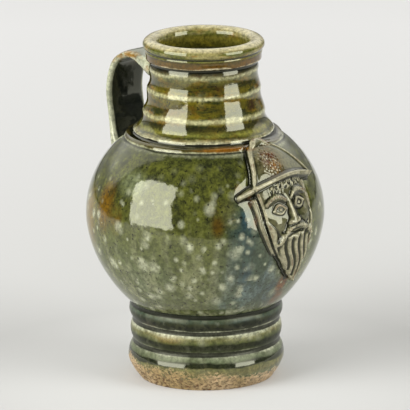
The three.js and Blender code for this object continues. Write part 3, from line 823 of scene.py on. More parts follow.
    @staticmethod
    def _fine_cells(height: np.ndarray, split: int) -> np.ndarray:
        """Which cells of the coarse grid are cut finer: those on the sprig and next to it."""
        rows, columns = (height.shape[0] - 1) // split, height.shape[1] // split
        raised = height[:-1].reshape(rows, split, columns, split).max(axis=(1, 3)) > 0.01
        grown = raised.copy()
        for shift in (-1, 1):
            grown |= np.roll(raised, shift, 0) | np.roll(raised, shift, 1)
        return grown

    @staticmethod
    def _grid(radius: np.ndarray, z: np.ndarray, angle: np.ndarray, fine: np.ndarray, proud: np.ndarray,
              sprig: np.ndarray, split: int) -> tuple[Any, ...]:
        """Faces of a turned grid whose fine cells are split, with their borders shared exactly.

        Args:
            radius: radius of each place on the fine grid, mm.
            z: its height, mm.
            angle: angle of each fine column.
            fine: which coarse cells are split.
            proud: how proud each place stands.
            sprig: how far each is on the sprig.
            split: how many fine cells a coarse one has each way.

        Returns:
            Vertices in mm, faces, their proud and sprig values, and the vertices of the last row.
        """
        rows, columns = fine.shape
        total = columns * split
        ids: dict[int, int] = {}
        where: list[tuple[int, int]] = []

        def vertex(j: int, i: int) -> int:
            """Index of the grid point in row j and column i."""
            i %= total
            key = j * total + i if j else 0
            if key not in ids:
                ids[key] = len(where)
                where.append((j, i))
            return ids[key]

        faces: Faces = []
        for row in range(rows):
            j0, j1 = row * split, (row + 1) * split
            for column in range(columns):
                i0, i1 = column * split, (column + 1) * split
                if fine[row, column]:
                    for j in range(j0, j1):
                        for i in range(i0, i1):
                            corners = ((j, i), (j, i + 1), (j + 1, i + 1), (j + 1, i))
                            faces.append(tuple(vertex(*corner) for corner in corners))
                    continue
                below = row > 0 and fine[row - 1, column]
                above = row < rows - 1 and fine[row + 1, column]
                left = fine[row, (column - 1) % columns]
                right = fine[row, (column + 1) % columns]
                loop = [(j0, i) for i in (range(i0, i1) if below else (i0,))]
                loop += [(j, i1) for j in (range(j0, j1) if right else (j0,))]
                loop += [(j1, i) for i in (range(i1, i0, -1) if above else (i1,))]
                loop += [(j, i0) for j in (range(j1, j0, -1) if left else (j1,))]
                faces.append(tuple(dict.fromkeys(vertex(j, i) for j, i in loop)))
        place = np.array(where)
        r = radius[place[:, 0], place[:, 1]]
        turn = angle[place[:, 1]]
        points = np.column_stack([r * np.sin(turn), -r * np.cos(turn), z[place[:, 0], place[:, 1]]])
        points[place[:, 0] == 0] = (0, 0, 0)
        top = [vertex(rows * split, column * split) for column in range(columns)]
        return points, faces, proud[place[:, 0], place[:, 1]], sprig[place[:, 0], place[:, 1]], top

    def _inner(self, top: list[int], start: int) -> tuple[np.ndarray, Faces]:
        """The hollow's skin, sewn to the last row of the outer one.

        Args:
            top: the outer skin's last row.
            start: index of the first new vertex.

        Returns:
            New vertices in mm, and faces.
        """
        line = self._profile(self.pot.inside_sections(), self.pot.inner_spacing, 1)[1:]
        columns = len(top)
        angle = (np.arange(columns) - columns / 2) * 2 * math.pi / columns
        rows = [np.array(top)]
        fresh = []
        for radius, level in line[:-1]:
            rows.append(np.arange(start + len(fresh) * columns, start + (len(fresh) + 1) * columns))
            swirl = 0.12 * np.sin(angle + 2 * math.pi * level / 5.5)
            r = radius + swirl
            fresh.append(np.column_stack([r * np.sin(angle), -r * np.cos(angle), np.full(columns, level)]))
        centre = start + len(fresh) * columns
        fresh.append(np.array([[0, 0, line[-1][1]]]))
        faces: Faces = []
        for low, high in zip(rows, rows[1:]):
            for i in range(columns):
                k = (i + 1) % columns
                faces.append((int(low[i]), int(low[k]), int(high[k]), int(high[i])))
        for i in range(columns):
            faces.append((int(rows[-1][i]), int(rows[-1][(i + 1) % columns]), centre))
        return np.vstack(fresh), faces

    def build(self) -> bpy.types.Object:
        """Makes the carafe's one mesh, with the attributes that its glaze reads.

        Returns:
            The piece.
        """
        points, faces, proud, sprig, top = self._outer()
        inner_points, inner_faces = self._inner(top, len(points))
        body = make_object("carafe_glazed", np.vstack([points, inner_points]), faces + inner_faces)
        LOG.info("pot: %d faces", len(body.data.polygons))
        strap_points, strap_faces, strap_proud = self.strap.mesh(self.pot)
        strap = make_object("strap", strap_points, strap_faces)
        count = len(inner_points)
        keep = [(points, proud, sprig, 0, 0), (inner_points, np.zeros(count), np.zeros(count), 0, 1),
                (strap_points, strap_proud, np.zeros(len(strap_points)), 1, 0)]
        union(body, strap)
        self._paint(body, keep)
        fillet(body)
        return body

    @staticmethod
    def _paint(piece: bpy.types.Object, keep: list[tuple[Any, ...]]) -> None:
        """Writes how proud each vertex stands, and which part of the skin it is on.

        Args:
            piece: the joined mesh.
            keep: for each mesh that went into it, its vertices in mm, how proud they stand, how far
                they are on the sprig, and 1 or 0 for the strap and for the inside.
        """
        where = np.vstack([k[0] for k in keep]) * MM
        proud = np.concatenate([k[1] for k in keep])
        zone = np.vstack([np.column_stack([sprig, np.full(len(points), strap), np.full(len(points), inside)])
                          for points, _, sprig, strap, inside in keep])
        tree = kdtree.KDTree(len(where))
        for i, place in enumerate(where):
            tree.insert(place, i)
        tree.balance()
        nearest = [tree.find(v.co)[1] for v in piece.data.vertices]
        attribute = piece.data.attributes.new("proud", "FLOAT", "POINT")
        attribute.data.foreach_set("value", proud[nearest].astype(np.float32))
        attribute = piece.data.attributes.new("zone", "FLOAT_VECTOR", "POINT")
        attribute.data.foreach_set("vector", zone[nearest].astype(np.float32).ravel())


def make_object(name: str, points: np.ndarray, faces: Faces) -> bpy.types.Object:
    """Makes a smooth-shaded mesh object.

    Args:
        name: the object's name.
        points: vertices in mm.
        faces: loops of vertex indices.

    Returns:
        The object, linked to the scene.
    """
    mesh = bpy.data.meshes.new(name)
    mesh.from_pydata((points * MM).tolist(), [], faces)
    mesh.polygons.foreach_set("use_smooth", [True] * len(mesh.polygons))
    mesh.update()
    piece = bpy.data.objects.new(name, mesh)
    bpy.context.scene.collection.objects.link(piece)
    return piece


def union(body: bpy.types.Object, other: bpy.types.Object) -> None:
    """Joins another closed mesh to the body, and deletes it.

    Args:
        body: the piece that stays.
        other: the piece that is joined to it.
    """
    modifier = body.modifiers.new("join", "BOOLEAN")
    modifier.operation = "UNION"
    modifier.solver = "MANIFOLD"
    modifier.object = other
    depsgraph = bpy.context.evaluated_depsgraph_get()
    joined = bpy.data.meshes.new_from_object(body.evaluated_get(depsgraph))
    body.modifiers.clear()
    body.data = joined
    bpy.data.objects.remove(other)
    LOG.info("joined: %d faces", len(joined.polygons))


def fillet(piece: bpy.types.Object, rows: int = 2, rounds: int = 6) -> None:
    """Softens the joint where the strap's roots were luted to the pot.

    Args:
        piece: the joined mesh.
        rows: how many rows of vertices beside the joint are softened too.
        rounds: how often.
    """
    mesh = bmesh.new()
    mesh.from_mesh(piece.data)
    mesh.verts.ensure_lookup_table()
    layer = mesh.verts.layers.float_vector["zone"]
    seam = {v for e in mesh.edges for v in e.verts
            if e.verts[0][layer][Surface.STRAP.value] != e.verts[1][layer][Surface.STRAP.value]}
    for _ in range(rows):
        seam |= {e.other_vert(v) for v in list(seam) for e in v.link_edges}
    for _ in range(rounds):
        bmesh.ops.smooth_vert(mesh, verts=list(seam), factor=0.5, use_axis_x=True, use_axis_y=True,
                              use_axis_z=True)
    mesh.to_mesh(piece.data)
    mesh.free()
    LOG.info("fillet over %d vertices", len(seam))


def fill_ramp(colour: bpy.types.NodeSocket, stops: list[tuple[float, Any]]) -> None:
    """Fills a colour ramp.

    Args:
        colour: the ramp node's output.
        stops: places along the ramp, 0 to 1, with their colours.
    """
    elements = colour.node.color_ramp.elements
    for i, (at, shade) in enumerate(stops):
        stop = elements[i] if i < 2 else elements.new(at)
        stop.position = at
        stop.color = shade


@dataclass(frozen=True)
class Grain:
    """A cloudy pattern in the glaze.

    Fields:
        width: size of its lumps across, mm.
        tall: how many times as tall as wide they are.
        low: how much of the noise is left out.
        high: where the noise counts in full.
        detail: how many finer sizes are laid over the first.
        rough: how strong the finer ones are.
    """

    width: float
    tall: float = 1.0
    low: float = 0.4
    high: float = 0.6
    detail: float = 4.0
    rough: float = 0.55


@dataclass(frozen=True)
class Blush:
    """A patch of the glaze with a colour of its own.

    Fields:
        bearing: degrees round from the mask's middle, to the right as one faces the mask.
        level: height over the underside, mm.
        reach: radius of the patch, mm.
        tall: how many times as tall as wide it is.
        colour: sRGB hex.
        strength: most that it covers, 0 to 1.
        grain: name of the pattern that breaks it up.
        least: how much of it is left where that pattern is thinnest.
    """

    bearing: float
    level: float
    reach: float
    tall: float
    colour: str
    strength: float
    grain: str = "mottle"
    least: float = 0.15


Rings = tuple[tuple[float, str, float], ...]
Layer = tuple[Any, Any]
Adder = Callable[..., Any]
Feed = dict[str, Any]


@dataclass(frozen=True)
class SaltGlaze:
    """Salt-glazed stoneware: a thin, glossy glass that formed on the clay in the kiln.

    It mottles in olive and grey-green, beads into pale drops, breaks to cream and rust where the form
    is sharp, and pools dark in every cut line. Below the last ring the clay is bare and grainy.
    The colours were set and matched by comparing renders. Noise breaks all of them up.

    Each method named for a part of the pot gives layers, from the lowest up: a share and a colour.
    Its node argument adds a node, and its feed holds the places and patterns by name.

    Fields:
        glass_tint: colour that the glass gives its reflections.
        ior: of the glass; fired glazes lie at 1.5 to 1.6.
        specular_level: strength of its reflections, where 0.5 is what the IOR gives.
        roughness: of the glass, which is as smooth as it ran.
        clay_roughness: of the bare clay.
        glaze_edge: height of the glaze's lower edge, mm.
        edge_waver: how far three patterns move that edge down, mm: ragged, mottle and grit.
        edge_blend: how far over its height the edge is bare in full, and covered in full, mm.
        clay_bearing: which way round the bare band is widest, degrees.
        clay_lean: how steeply the edge leans that way.
        satin: roughness of the thinner glaze on the upper foot.
        satin_level: strength of its reflections.
        satin_zone: heights where that glaze starts, is full, starts to fade and ends, mm.
        sand_shade: darkest and lightest that the sand pattern makes the colour.
        swell_bump: strength and depth in mm of the slow swell of the glaze.
        peel_bump: the same of its orange peel.
        grit_bump: the same of the clay's grit.
        drop_spacings: how far apart the beads of each size are, mm.
        foot_glaze_and_light_rings: height over the underside in mm, colour and strength, with a change
            between; its pale bands are partly painted light, and its dark bands partly painted shade.
        neck_rings: the same, with the height over the neck's root.
    """

    deep: str = "1A1E0C"
    olive: str = "4B4E1C"
    sage: str = "565E44"
    pale: str = "8C8C6E"
    bead: str = "A2A48A"
    black: str = "0C0E08"
    cream: str = "9C9676"
    rust: str = "5A3A20"
    slate: str = "151A1A"
    gold: str = "564E10"
    moss: str = "20260A"
    amber: str = "7A5610"
    mauve_glaze_and_sheen: str = "BCB28E"
    ochre: str = "6A6224"
    bronze: str = "504E36"
    ivory: str = "938E74"
    clay: str = "947C54"
    grit: str = "5A3A1E"
    bisque: str = "BAA184"
    glass_tint: str = "FFFFE2"
    ior: float = 1.6
    specular_level: float = 0.5
    roughness: float = 0.07
    clay_roughness: float = 0.8
    glaze_edge: float = 6.0
    edge_waver: tuple[float, float, float] = (4.5, 2.0, 3.5)
    edge_blend: Pair = (3.6, 6.4)
    clay_bearing: float = -115.0
    clay_lean: float = 0.085
    satin: float = 0.3
    satin_level: float = 0.18
    satin_zone: tuple[float, ...] = (13.4, 14.4, 36.0, 40.0)
    sand_shade: Pair = (0.53, 1.19)
    swell_bump: Pair = (0.35, 0.5)
    peel_bump: Pair = (0.16, 0.12)
    grit_bump: Pair = (0.9, 0.35)
    drop_spacings: tuple[float, ...] = (8.6, 6.4, 4.8)
    grains: dict[str, Grain] = field(default_factory=lambda: {
        "cloud": Grain(30, 1.2, 0.42, 0.62, 3),
        "mottle": Grain(3.6, 1.3, 0.36, 0.64, 7, 0.8),
        "sand": Grain(1.1, 1.0, 0.3, 0.7, 3, 0.7),
        "speck": Grain(1.0, 1.0, 0.66, 0.72, 1),
        "runs": Grain(3.2, 6.0, 0.42, 0.66, 5),
        "wisps": Grain(9.0, 0.22, 0.42, 0.6, 6, 0.62),
        "smear": Grain(5.0, 0.5, 0.48, 0.66, 6, 0.65),
        "rough": Grain(2.2, 1.0, 0.46, 0.56, 3),
        "worn": Grain(9.0, 0.8, 0.5, 0.62, 3),
        "thick": Grain(4.0, 2.0, 0.25, 0.45, 3),
        "ragged": Grain(8.0, 0.7, 0.2, 0.8, 6, 0.65),
        "grit": Grain(1.0, 0.7, 0.5, 0.64, 3),
        "swell": Grain(7.0, 1.0, 0.0, 1.0, 2),
        "peel": Grain(1.4, 1.0, 0.0, 1.0, 3),
    })
    blushes: tuple[Blush, ...] = (
        Blush(-20, 62, 17, 1.8, "1C323A", 0.95, "runs", 0.62),
        Blush(-25, 84, 8, 2.2, "1E363E", 0.92, "runs", 0.55),
        Blush(-4, 49, 13, 0.9, "1A3038", 0.9, "runs", 0.55),
        Blush(-27, 45, 12, 0.6, "24403E", 0.75, "runs", 0.4),
        Blush(-31, 57, 4.5, 3.2, "7A8274", 0.6, "runs", 0.1),
        Blush(-8, 58, 4, 3.0, "6A7878", 0.5, "runs", 0.1),
        Blush(-18, 48, 13, 1.1, "66746E", 0.5, "runs", 0.0),
        # A pale grey-green patch high on the belly to the camera's left: a painted reflection of the pale
        # backdrop.
        Blush(-86, 103, 9, 0.8, "767E5E", 0.7, "cloud", 0.3),
        Blush(-74, 25.5, 9, 0.34, "806430", 0.85, "thick", 0.3),
        Blush(-14, 33.5, 9, 0.3, "16242A", 0.9, "thick", 0.4),
        Blush(-38.6, 96, 5, 1.0, "4E3C10", 0.8, "smear", 0.1),
        Blush(-37.5, 87, 3.6, 1.8, "3E2E08", 0.95, "thick", 0.2),
        Blush(-31, 92, 5, 1.6, "6E6A48", 0.7, "smear", 0.2),
        Blush(-102, 92, 7, 2.2, "5B4207", 0.95, "thick", 0.3),
        Blush(-119, 82, 10, 1.6, "6A5410", 0.85, "thick", 0.4),
        Blush(-92, 86, 5, 1.6, "5A420A", 0.7, "mottle", 0.2),
        Blush(-25, 102, 2.6, 2.2, "5E4630", 0.7, "thick", 0.3),
        Blush(4.5, 52, 4.2, 2.6, "5E3A18", 1.0, "thick", 0.5),
        Blush(8, 44, 4.4, 1.8, "5E3A18", 1.0, "thick", 0.5),
        Blush(14, 73, 1.8, 2.6, "5A3A22", 0.9, "thick", 0.4),
        Blush(-33.5, 145.5, 4.5, 0.6, "2E1006", 0.95, "rough", 0.2),
        Blush(10, 136, 4.0, 0.9, "2E1006", 0.95, "rough", 0.2),
        Blush(-72, 132, 8, 0.8, "5A3A0C", 0.8, "wisps", 0.2),
        Blush(-95, 124, 6, 0.8, "5A4410", 0.8, "smear", 0.2),
        Blush(-92, 29, 7, 0.5, "66502A", 0.85, "thick", 0.3),
        Blush(20, 27.5, 6, 0.4, "503818", 0.85, "thick", 0.3),
    )
    late_blushes: tuple[Blush, ...] = (
        Blush(-2, 111, 9.5, 1.0, "5A3C1E", 0.8, "cloud", 0.3),
        Blush(-2, 112, 6.4, 1.2, "4A2006", 1.0, "rough", 0.3),
        Blush(-1, 109, 5, 1.0, "8A5A18", 0.7, "sand", 0.0),
        Blush(-28, 118.8, 15, 0.075, "6A4206", 1.0, "thick", 0.6),
        Blush(4, 119.3, 6, 0.16, "5E3E10", 0.9, "thick", 0.5),
        Blush(-20.4, 97, 1.3, 2.6, "5A3C24", 0.9, "thick", 0.5),
        Blush(-18.6, 88, 1.3, 3.4, "543620", 0.9, "thick", 0.5),
    )
    # Pale just under each groove, where the flank faces up, and dark just over it, where it faces down:
    # glaze that breaks thin and pools, and also painted light on the up-facing flanks and painted shade on
    # the down-facing ones.
    foot_glaze_and_light_rings: Rings = (
        (7.0, "5E5430", 0.0), (9.0, "625634", 0.6), (11.2, "5A5630", 0.7), (12.1, "12160A", 0.96),
        (14.0, "10140A", 0.96), (15.0, "4A523E", 0.6), (16.6, "666C56", 0.7), (17.9, "BEC0A4", 0.95),
        (18.9, "9A9C80", 0.85), (19.8, "1E240E", 0.85), (21.2, "0A0E04", 0.97), (22.8, "0C1004", 0.96),
        (23.9, "3C401C", 0.7), (25.6, "625E38", 0.65), (27.4, "A0A288", 0.9), (28.5, "C6C8AE", 0.95),
        (29.4, "A0A288", 0.9), (30.1, "12160E", 0.93), (31.6, "080B08", 0.97), (33.4, "10160E", 0.9),
        (34.6, "263430", 0.75), (37.4, "34443A", 0.55), (38.1, "10140C", 0.85), (38.8, "10140C", 0.0),
    )
    neck_rings: Rings = (
        (-8.2, "20260C", 0.0), (-4.8, "20260C", 0.4), (-3.4, "84866A", 0.8), (-2.3, "8E8E70", 0.8),
        (-1.8, "3A3010", 0.8), (-0.9, "3A3010", 0.8), (-0.4, "0A0A06", 0.96), (0.3, "0A0A06", 0.96),
        (0.8, "A8A688", 0.9), (1.8, "84805E", 0.6), (2.7, "22260A", 0.6), (4.3, "7A7A34", 0.7),
        (8.6, "4A4C18", 0.1), (9.9, "9A9870", 0.85), (11.0, "9A9870", 0.8), (12.2, "3E3C12", 0.1),
        (16.0, "2C2C0A", 0.4), (19.4, "3E3C12", 0.1), (20.7, "A09E76", 0.85), (21.6, "A09E76", 0.8),
        (22.8, "3E3C12", 0.1), (26.4, "2C2C0A", 0.35), (29.2, "5A5C3C", 0.4), (30.6, "989670", 0.85),
        (32.0, "34342A", 0.8), (32.8, "12140F", 0.95), (34.3, "12140F", 0.95), (35.0, "A89E80", 0.9),
        (35.7, "4A2E08", 0.85), (37.4, "4A3210", 0.8), (39.0, "26240E", 0.8), (40.0, "3A3A16", 0.3),
    )

    def build(self, pot: Pot) -> bpy.types.Material:
        """Makes the glaze's node material.

        Args:
            pot: the pot's sizes, which place the zones.

        Returns:
            The material.
        """
        material = bpy.data.materials.new("salt_glaze")
        material.use_nodes = True
        tree = material.node_tree
        tree.nodes.clear()
        node = partial(add_node, tree)
        feed = self._feeds(node)
        surface: Any = linear(self.olive)
        layers = [*self._belly(node, feed, pot), *self._neck(node, feed, pot),
                  *self._patches(node, feed, pot, self.blushes), *self._drops(node, feed, pot),
                  *self._rings(node, feed, pot), *self._lip(node, feed, pot), *self._strap(node, feed, pot),
                  *self._sprig(node, feed, pot), *self._patches(node, feed, pot, self.late_blushes),
                  *self._hollow(node, feed, pot), *self._clay(node, feed)]
        for share, over in layers:
            surface = node("Mix", LAYER, {0: share, 6: surface, 7: over}, 2)
        sanded = node("MapRange", {}, (feed["sand"], 0, 1, *self.sand_shade))
        surface = node("Mix", {**LAYER, "blend_type": "MULTIPLY"}, {0: 1.0, 6: surface, 7: sanded}, 2)
        start, full, fading, end = self.satin_zone
        rising = node("MapRange", EASE, (feed["level"], start, full))
        falling = node("MapRange", EASE, (feed["level"], end, fading))
        dulled = node("Math", TIMES, (rising, falling))
        glassy = node("Mix", {}, {0: dulled, 2: self.roughness, 3: self.satin})
        gloss = node("Mix", {}, {0: feed["bare"], 2: glassy, 3: self.clay_roughness})
        mirror = node("Mix", {}, {0: dulled, 2: self.specular_level, 3: self.satin_level})
        strength, depth = self.swell_bump
        swell = node("Bump", {}, {"Strength": strength, "Distance": depth * MM, "Height": feed["swell"]})
        strength, depth = self.peel_bump
        peel = node("Bump", {}, {"Strength": strength, "Distance": depth * MM, "Height": feed["peel"],
                                 "Normal": swell})
        strength, depth = self.grit_bump
        gritty = node("Math", TIMES, (feed["bare"], strength))
        pitted = node("Bump", {}, {"Strength": gritty, "Distance": depth * MM, "Height": feed["grit"],
                                   "Normal": peel})
        shader = node("BsdfPrincipled", {}, {"Base Color": surface, "Roughness": gloss, "IOR": self.ior,
                                             "Specular IOR Level": mirror, "Normal": pitted,
                                             "Specular Tint": linear(self.glass_tint)})
        node("OutputMaterial", {}, {"Surface": shader}, None)
        return material

    def _feeds(self, node: Adder) -> Feed:
        """The places, attributes and patterns that the layers are made from.

        Args:
            node: adds a node.

        Returns:
            The outputs by name. Each grain's noise lies apart from the others' in the noise's space.
        """
        lump = 0.6
        apart = (17.3, 9.1, 5.7)
        coords = node("TexCoord", {}, (), "Object")
        place = node("VectorMath", {"operation": "SCALE"}, {0: coords, "Scale": 1 / MM})
        feed = {"place": place, "level": node("SeparateXYZ", {}, (place,), "Z")}
        feed["proud"] = node("Attribute", {"attribute_name": "proud"}, (), "Fac")
        zone = node("Attribute", {"attribute_name": "zone"}, (), "Vector")
        for zone_name in Surface:
            feed[zone_name.name.lower()] = node("SeparateXYZ", {}, (zone,), zone_name.value)
        for i, (name, grain) in enumerate(self.grains.items()):
            across, up = lump / grain.width, lump / (grain.width * grain.tall)
            moved = node("VectorMath", TIMES_PLUS,
                         {0: place, 1: (across, across, up), 2: tuple(far * i for far in apart)})
            noise = node("TexNoise", {}, {"Vector": moved, "Scale": 1.0, "Detail": grain.detail,
                                          "Roughness": grain.rough})
            feed[name] = node("MapRange", EASE, (noise, grain.low, grain.high))
        off = node("Math", PLUS, (feed["sprig"], feed["strap"]))
        feed["thrown"] = node("Math", {"operation": "SUBTRACT", "use_clamp": True}, (1.0, off))
        turn = math.radians(self.clay_bearing)
        lean = (-self.clay_lean * math.sin(turn), self.clay_lean * math.cos(turn), 0)
        tipped = node("VectorMath", DOT, (place, lean), "Value")
        leaning = node("Math", PLUS, (feed["level"], tipped))
        for pattern, waver in zip(("ragged", "mottle", "grit"), self.edge_waver):
            leaning = node("Math", TIMES_PLUS, (feed[pattern], waver, leaning))
        bare, covered = (self.glaze_edge + blend for blend in self.edge_blend)
        below = node("MapRange", EASE, (leaning, covered, bare))
        outside = node("Math", LESS, (1.0, feed["inside"]))
        feed["bare"] = node("Math", TIMES, (below, outside))
        return feed

    def _belly(self, node: Adder, feed: Feed, pot: Pot) -> list[Layer]:
        """Mottled olive, darker on the shoulder and greyer lower down, with pale runs."""
        dark = node("MapRange", EASE,
                    (feed["level"], pot.belly_level - 18, pot.belly_level + 22, 0.3, 0.95))
        mottled = node("Math", TIMES, (dark, feed["mottle"]))
        low = node("MapRange", EASE, (feed["level"], pot.belly_level + 16, pot.foot_height + 12, 0.0, 0.85))
        greyed = node("MapRange", EASE, (feed["cloud"], 0, 1, 0.45, 1.0))
        grey = node("Math", TIMES, (low, greyed))
        streaked = node("Math", TIMES, (low, feed["runs"]))
        faint = node("Math", TIMES, (streaked, 0.5))
        return [(grey, linear(self.sage)), (mottled, linear(self.deep)), (faint, linear(self.pale))]

    def _neck(self, node: Adder, feed: Feed, pot: Pot) -> list[Layer]:
        """Golden olive round the neck, in level streaks of moss green and amber."""
        neck = node("MapRange", EASE, (feed["level"], pot.neck_level - 1, pot.neck_level + 1))
        thrown_neck = node("Math", TIMES, (neck, feed["thrown"]))
        streaked = node("Math", TIMES, (thrown_neck, feed["wisps"]))
        smeared = node("Math", TIMES, (thrown_neck, feed["smear"]))
        ambered = node("Math", TIMES, (smeared, 0.6))
        return [(thrown_neck, linear(self.gold)), (streaked, linear(self.moss)),
                (ambered, linear(self.amber))]

    def _patches(self, node: Adder, feed: Feed, pot: Pot,
                 blushes: tuple[Blush, ...]) -> list[Layer]:
        """Patches of slate, ochre, rust and red-brown, each with a broken edge."""
        layers: list[Layer] = []
        for blush in blushes:
            turn = math.radians(blush.bearing)
            radius = self._radius_at(pot, blush.level)
            centre = (radius * math.sin(turn), -radius * math.cos(turn), blush.level)
            apart = node("VectorMath", LESS, (feed["place"], centre))
            squashed = node("VectorMath", TIMES, (apart, (1, 1, 1 / blush.tall)))
            far = node("VectorMath", {"operation": "LENGTH"}, (squashed,), "Value")
            soft = node("MapRange", EASE, (far, blush.reach * 1.25, blush.reach * 0.3))
            broken = node("MapRange", {}, (feed[blush.grain], 0, 1, blush.least, 1))
            share = node("Math", TIMES, (soft, broken))
            held = node("Math", TIMES, (share, blush.strength))
            layers.append((held, linear(blush.colour)))
        return layers

    @staticmethod
    def _radius_at(pot: Pot, level: float) -> float:
        """The pot's radius at a level on the foot, belly or neck."""
        if level < pot.foot_height:
            return pot.upper_ring[1]
        return pot.rib_radii[2] if level > pot.neck_level else float(pot.belly_at(level))

    def _drops(self, node: Adder, feed: Feed, pot: Pot) -> list[Layer]:
        """Pale beads up to 3 mm wide, thick on the lower belly and rare on the shoulder.

        Each bead sits in a cell of its own, whose random colour says how wide the bead is.
        """
        low = node("MapRange", EASE, (feed["level"], pot.neck_level - 6, pot.belly_level + 4, 0.1, 1.0))
        up = node("MapRange", EASE, (feed["level"], pot.foot_height - 26, pot.foot_height - 20))
        where = node("Math", TIMES, (low, up))
        layers: list[Layer] = []
        for spacing in self.drop_spacings:
            grid = node("VectorMath", TIMES,
                        (feed["place"], (1 / spacing, 1 / spacing, 0.85 / spacing)))
            apart = node("TexVoronoi", {"feature": "F1"}, {"Vector": grid, "Scale": 1.0}, "Distance")
            size = node("SeparateColor", {}, (apart.node.outputs["Color"],), 0)
            reach = node("MapRange", {}, (size, 0.3, 1.0, 0.03, 0.47))
            near = node("Math", {"operation": "DIVIDE"}, (apart, reach))
            round_drop = node("MapRange", EASE, (near, 1.2, 0.1))
            shown = node("Math", TIMES, (round_drop, where))
            thinned = node("Math", TIMES, (shown, feed["thrown"]))
            held = node("Math", TIMES, (thinned, 0.7))
            layers.append((held, linear(self.bead)))
        specked = node("Math", TIMES, (feed["speck"], 0.8))
        layers.append((specked, linear(self.black)))
        return layers

    def _rings(self, node: Adder, feed: Feed, pot: Pot) -> list[Layer]:
        """The glaze's change from crest to hollow up the foot and the neck. On the foot the bands are also
        painted light and shade: pale on the flanks that face up, dark on those that face down.
        """
        wander = node("Math", TIMES_PLUS, (feed["ragged"], 1.6, feed["level"]))
        level = node("Math", LESS, (wander, 0.8))
        layers: list[Layer] = []
        for base, rings in ((0.0, self.foot_glaze_and_light_rings), (pot.neck_level, self.neck_rings)):
            low, high = base + rings[0][0], base + rings[-1][0] + 1
            share = node("MapRange", {}, (level, low, high))
            colour = node("ValToRGB", {}, (share,))
            fill_ramp(colour, [((base + up - low) / (high - low), (*linear(shade)[:3], strength))
                               for up, shade, strength in rings])
            inside = node("Math", {"operation": "GREATER_THAN"}, (share, 0.0))
            above = node("Math", {"operation": "LESS_THAN"}, (share, 1.0))
            between = node("Math", TIMES, (inside, above))
            strength_here = node("Math", TIMES, (colour.node.outputs["Alpha"], between))
            on_pot = node("Math", TIMES, (strength_here, feed["thrown"]))
            broken = node("MapRange", {}, (feed["sand"], 0, 1, 0.75, 1.1))
            layers.append((node("Math", TIMES, (on_pot, broken)), colour))
        return layers

    def _lip(self, node: Adder, feed: Feed, pot: Pot) -> list[Layer]:
        """Creamy ochre on the lip's roll, streaked with amber and olive on its side, palest on top, where
        the glaze breaks thin and a painted sheen stands in for the light that the top mirrors.
        """
        top = pot.lip_level + pot.lip_rise
        lip = node("MapRange", EASE, (feed["level"], pot.lip_level - 3.6, pot.lip_level - 2.4))
        creamed = node("Math", TIMES, (lip, 0.3))
        side = node("MapRange", EASE, (feed["level"], top - 0.8, top - 2.6))
        on_side = node("Math", TIMES, (lip, side))
        streaked = node("Math", TIMES, (on_side, feed["wisps"]))
        smeared = node("Math", TIMES, (on_side, feed["smear"]))
        ambered = node("Math", TIMES, (smeared, 0.8))
        # Palest band on top: glaze breaking thin on the edge, with a painted sheen.
        rolled = node("MapRange", EASE, (feed["level"], top - 2.0, top - 0.8))
        worn = node("MapRange", {}, (feed["smear"], 0, 1, 0.5, 0.05))
        topped = node("Math", TIMES, (rolled, worn))
        return [(lip, linear(self.ochre)), (creamed, linear(self.cream)), (ambered, linear(self.amber)),
                (streaked, linear(self.olive)), (topped, linear(self.mauve_glaze_and_sheen))]

    def _strap(self, node: Adder, feed: Feed, pot: Pot) -> list[Layer]:
        """Dark slate on the strap's faces, grey-green and amber over its top, and pale edges."""
        faces = node("Math", TIMES, (feed["strap"], 0.9))
        edges = node("MapRange", EASE, (feed["proud"], 0.08, 0.5, 0.0, 1.0))
        edged = node("Math", TIMES, (feed["strap"], edges))
        broken = node("MapRange", {}, (feed["mottle"], 0, 1, 0.6, 1))
        pale = node("Math", TIMES, (edged, broken))
        high = node("MapRange", EASE, (feed["level"], pot.collar_level - 14, pot.collar_level - 3))
        topped = node("Math", TIMES, (feed["strap"], high))
        greened = node("Math", TIMES, (topped, 0.8))
        warmed = node("Math", TIMES, (topped, feed["smear"]))
        return [(faces, linear(self.slate)), (greened, linear(self.sage)), (pale, linear(self.bead)),
                (warmed, linear(self.amber))]

    def _sprig(self, node: Adder, feed: Feed, pot: Pot) -> list[Layer]:
        """Ivory on the mask's ridges, bronze and moss on its planes, and rust on sharp edges.

        Black pools in its cuts, and in every other cut of the pot up to the lip.
        """
        ground = node("Math", TIMES, (feed["sprig"], 0.85))
        smeared = node("Math", TIMES, (feed["sprig"], feed["smear"]))
        dulled = node("Math", TIMES, (smeared, 0.75))
        ridge = node("MapRange", EASE, (feed["proud"], 0.05, 0.5, 0.0, 0.85))
        ridged = node("Math", TIMES, (feed["sprig"], ridge))
        sharp = node("MapRange", EASE, (feed["proud"], 0.5, 0.9, 0.0, 0.8))
        on_sprig = node("Math", TIMES, (sharp, feed["worn"]))
        rusted = node("Math", TIMES, (on_sprig, feed["sprig"]))
        cut = node("MapRange", EASE, (feed["proud"], -0.04, -0.34, 0.0, 0.95))
        below_lip = node("MapRange", EASE, (feed["level"], pot.lip_level - 0.6, pot.lip_level - 2.4))
        deep = node("Math", TIMES, (cut, below_lip))
        return [(ground, linear(self.bronze)), (dulled, linear(self.moss)), (ridged, linear(self.ivory)),
                (rusted, linear(self.rust)), (deep, linear(self.black))]

    def _hollow(self, node: Adder, feed: Feed, pot: Pot) -> list[Layer]:
        """Dark olive inside, and ochre up by the lip."""
        inside = node("Math", TIMES, (feed["inside"], 0.9))
        smeared = node("Math", TIMES, (feed["inside"], feed["smear"]))
        high = node("MapRange", EASE, (feed["level"], pot.lip_level - 8, pot.lip_level - 1))
        near_lip = node("Math", TIMES, (feed["inside"], high))
        warmed = node("Math", TIMES, (near_lip, 0.75))
        return [(inside, linear(self.moss)), (smeared, linear(self.gold)), (warmed, linear(self.ochre))]

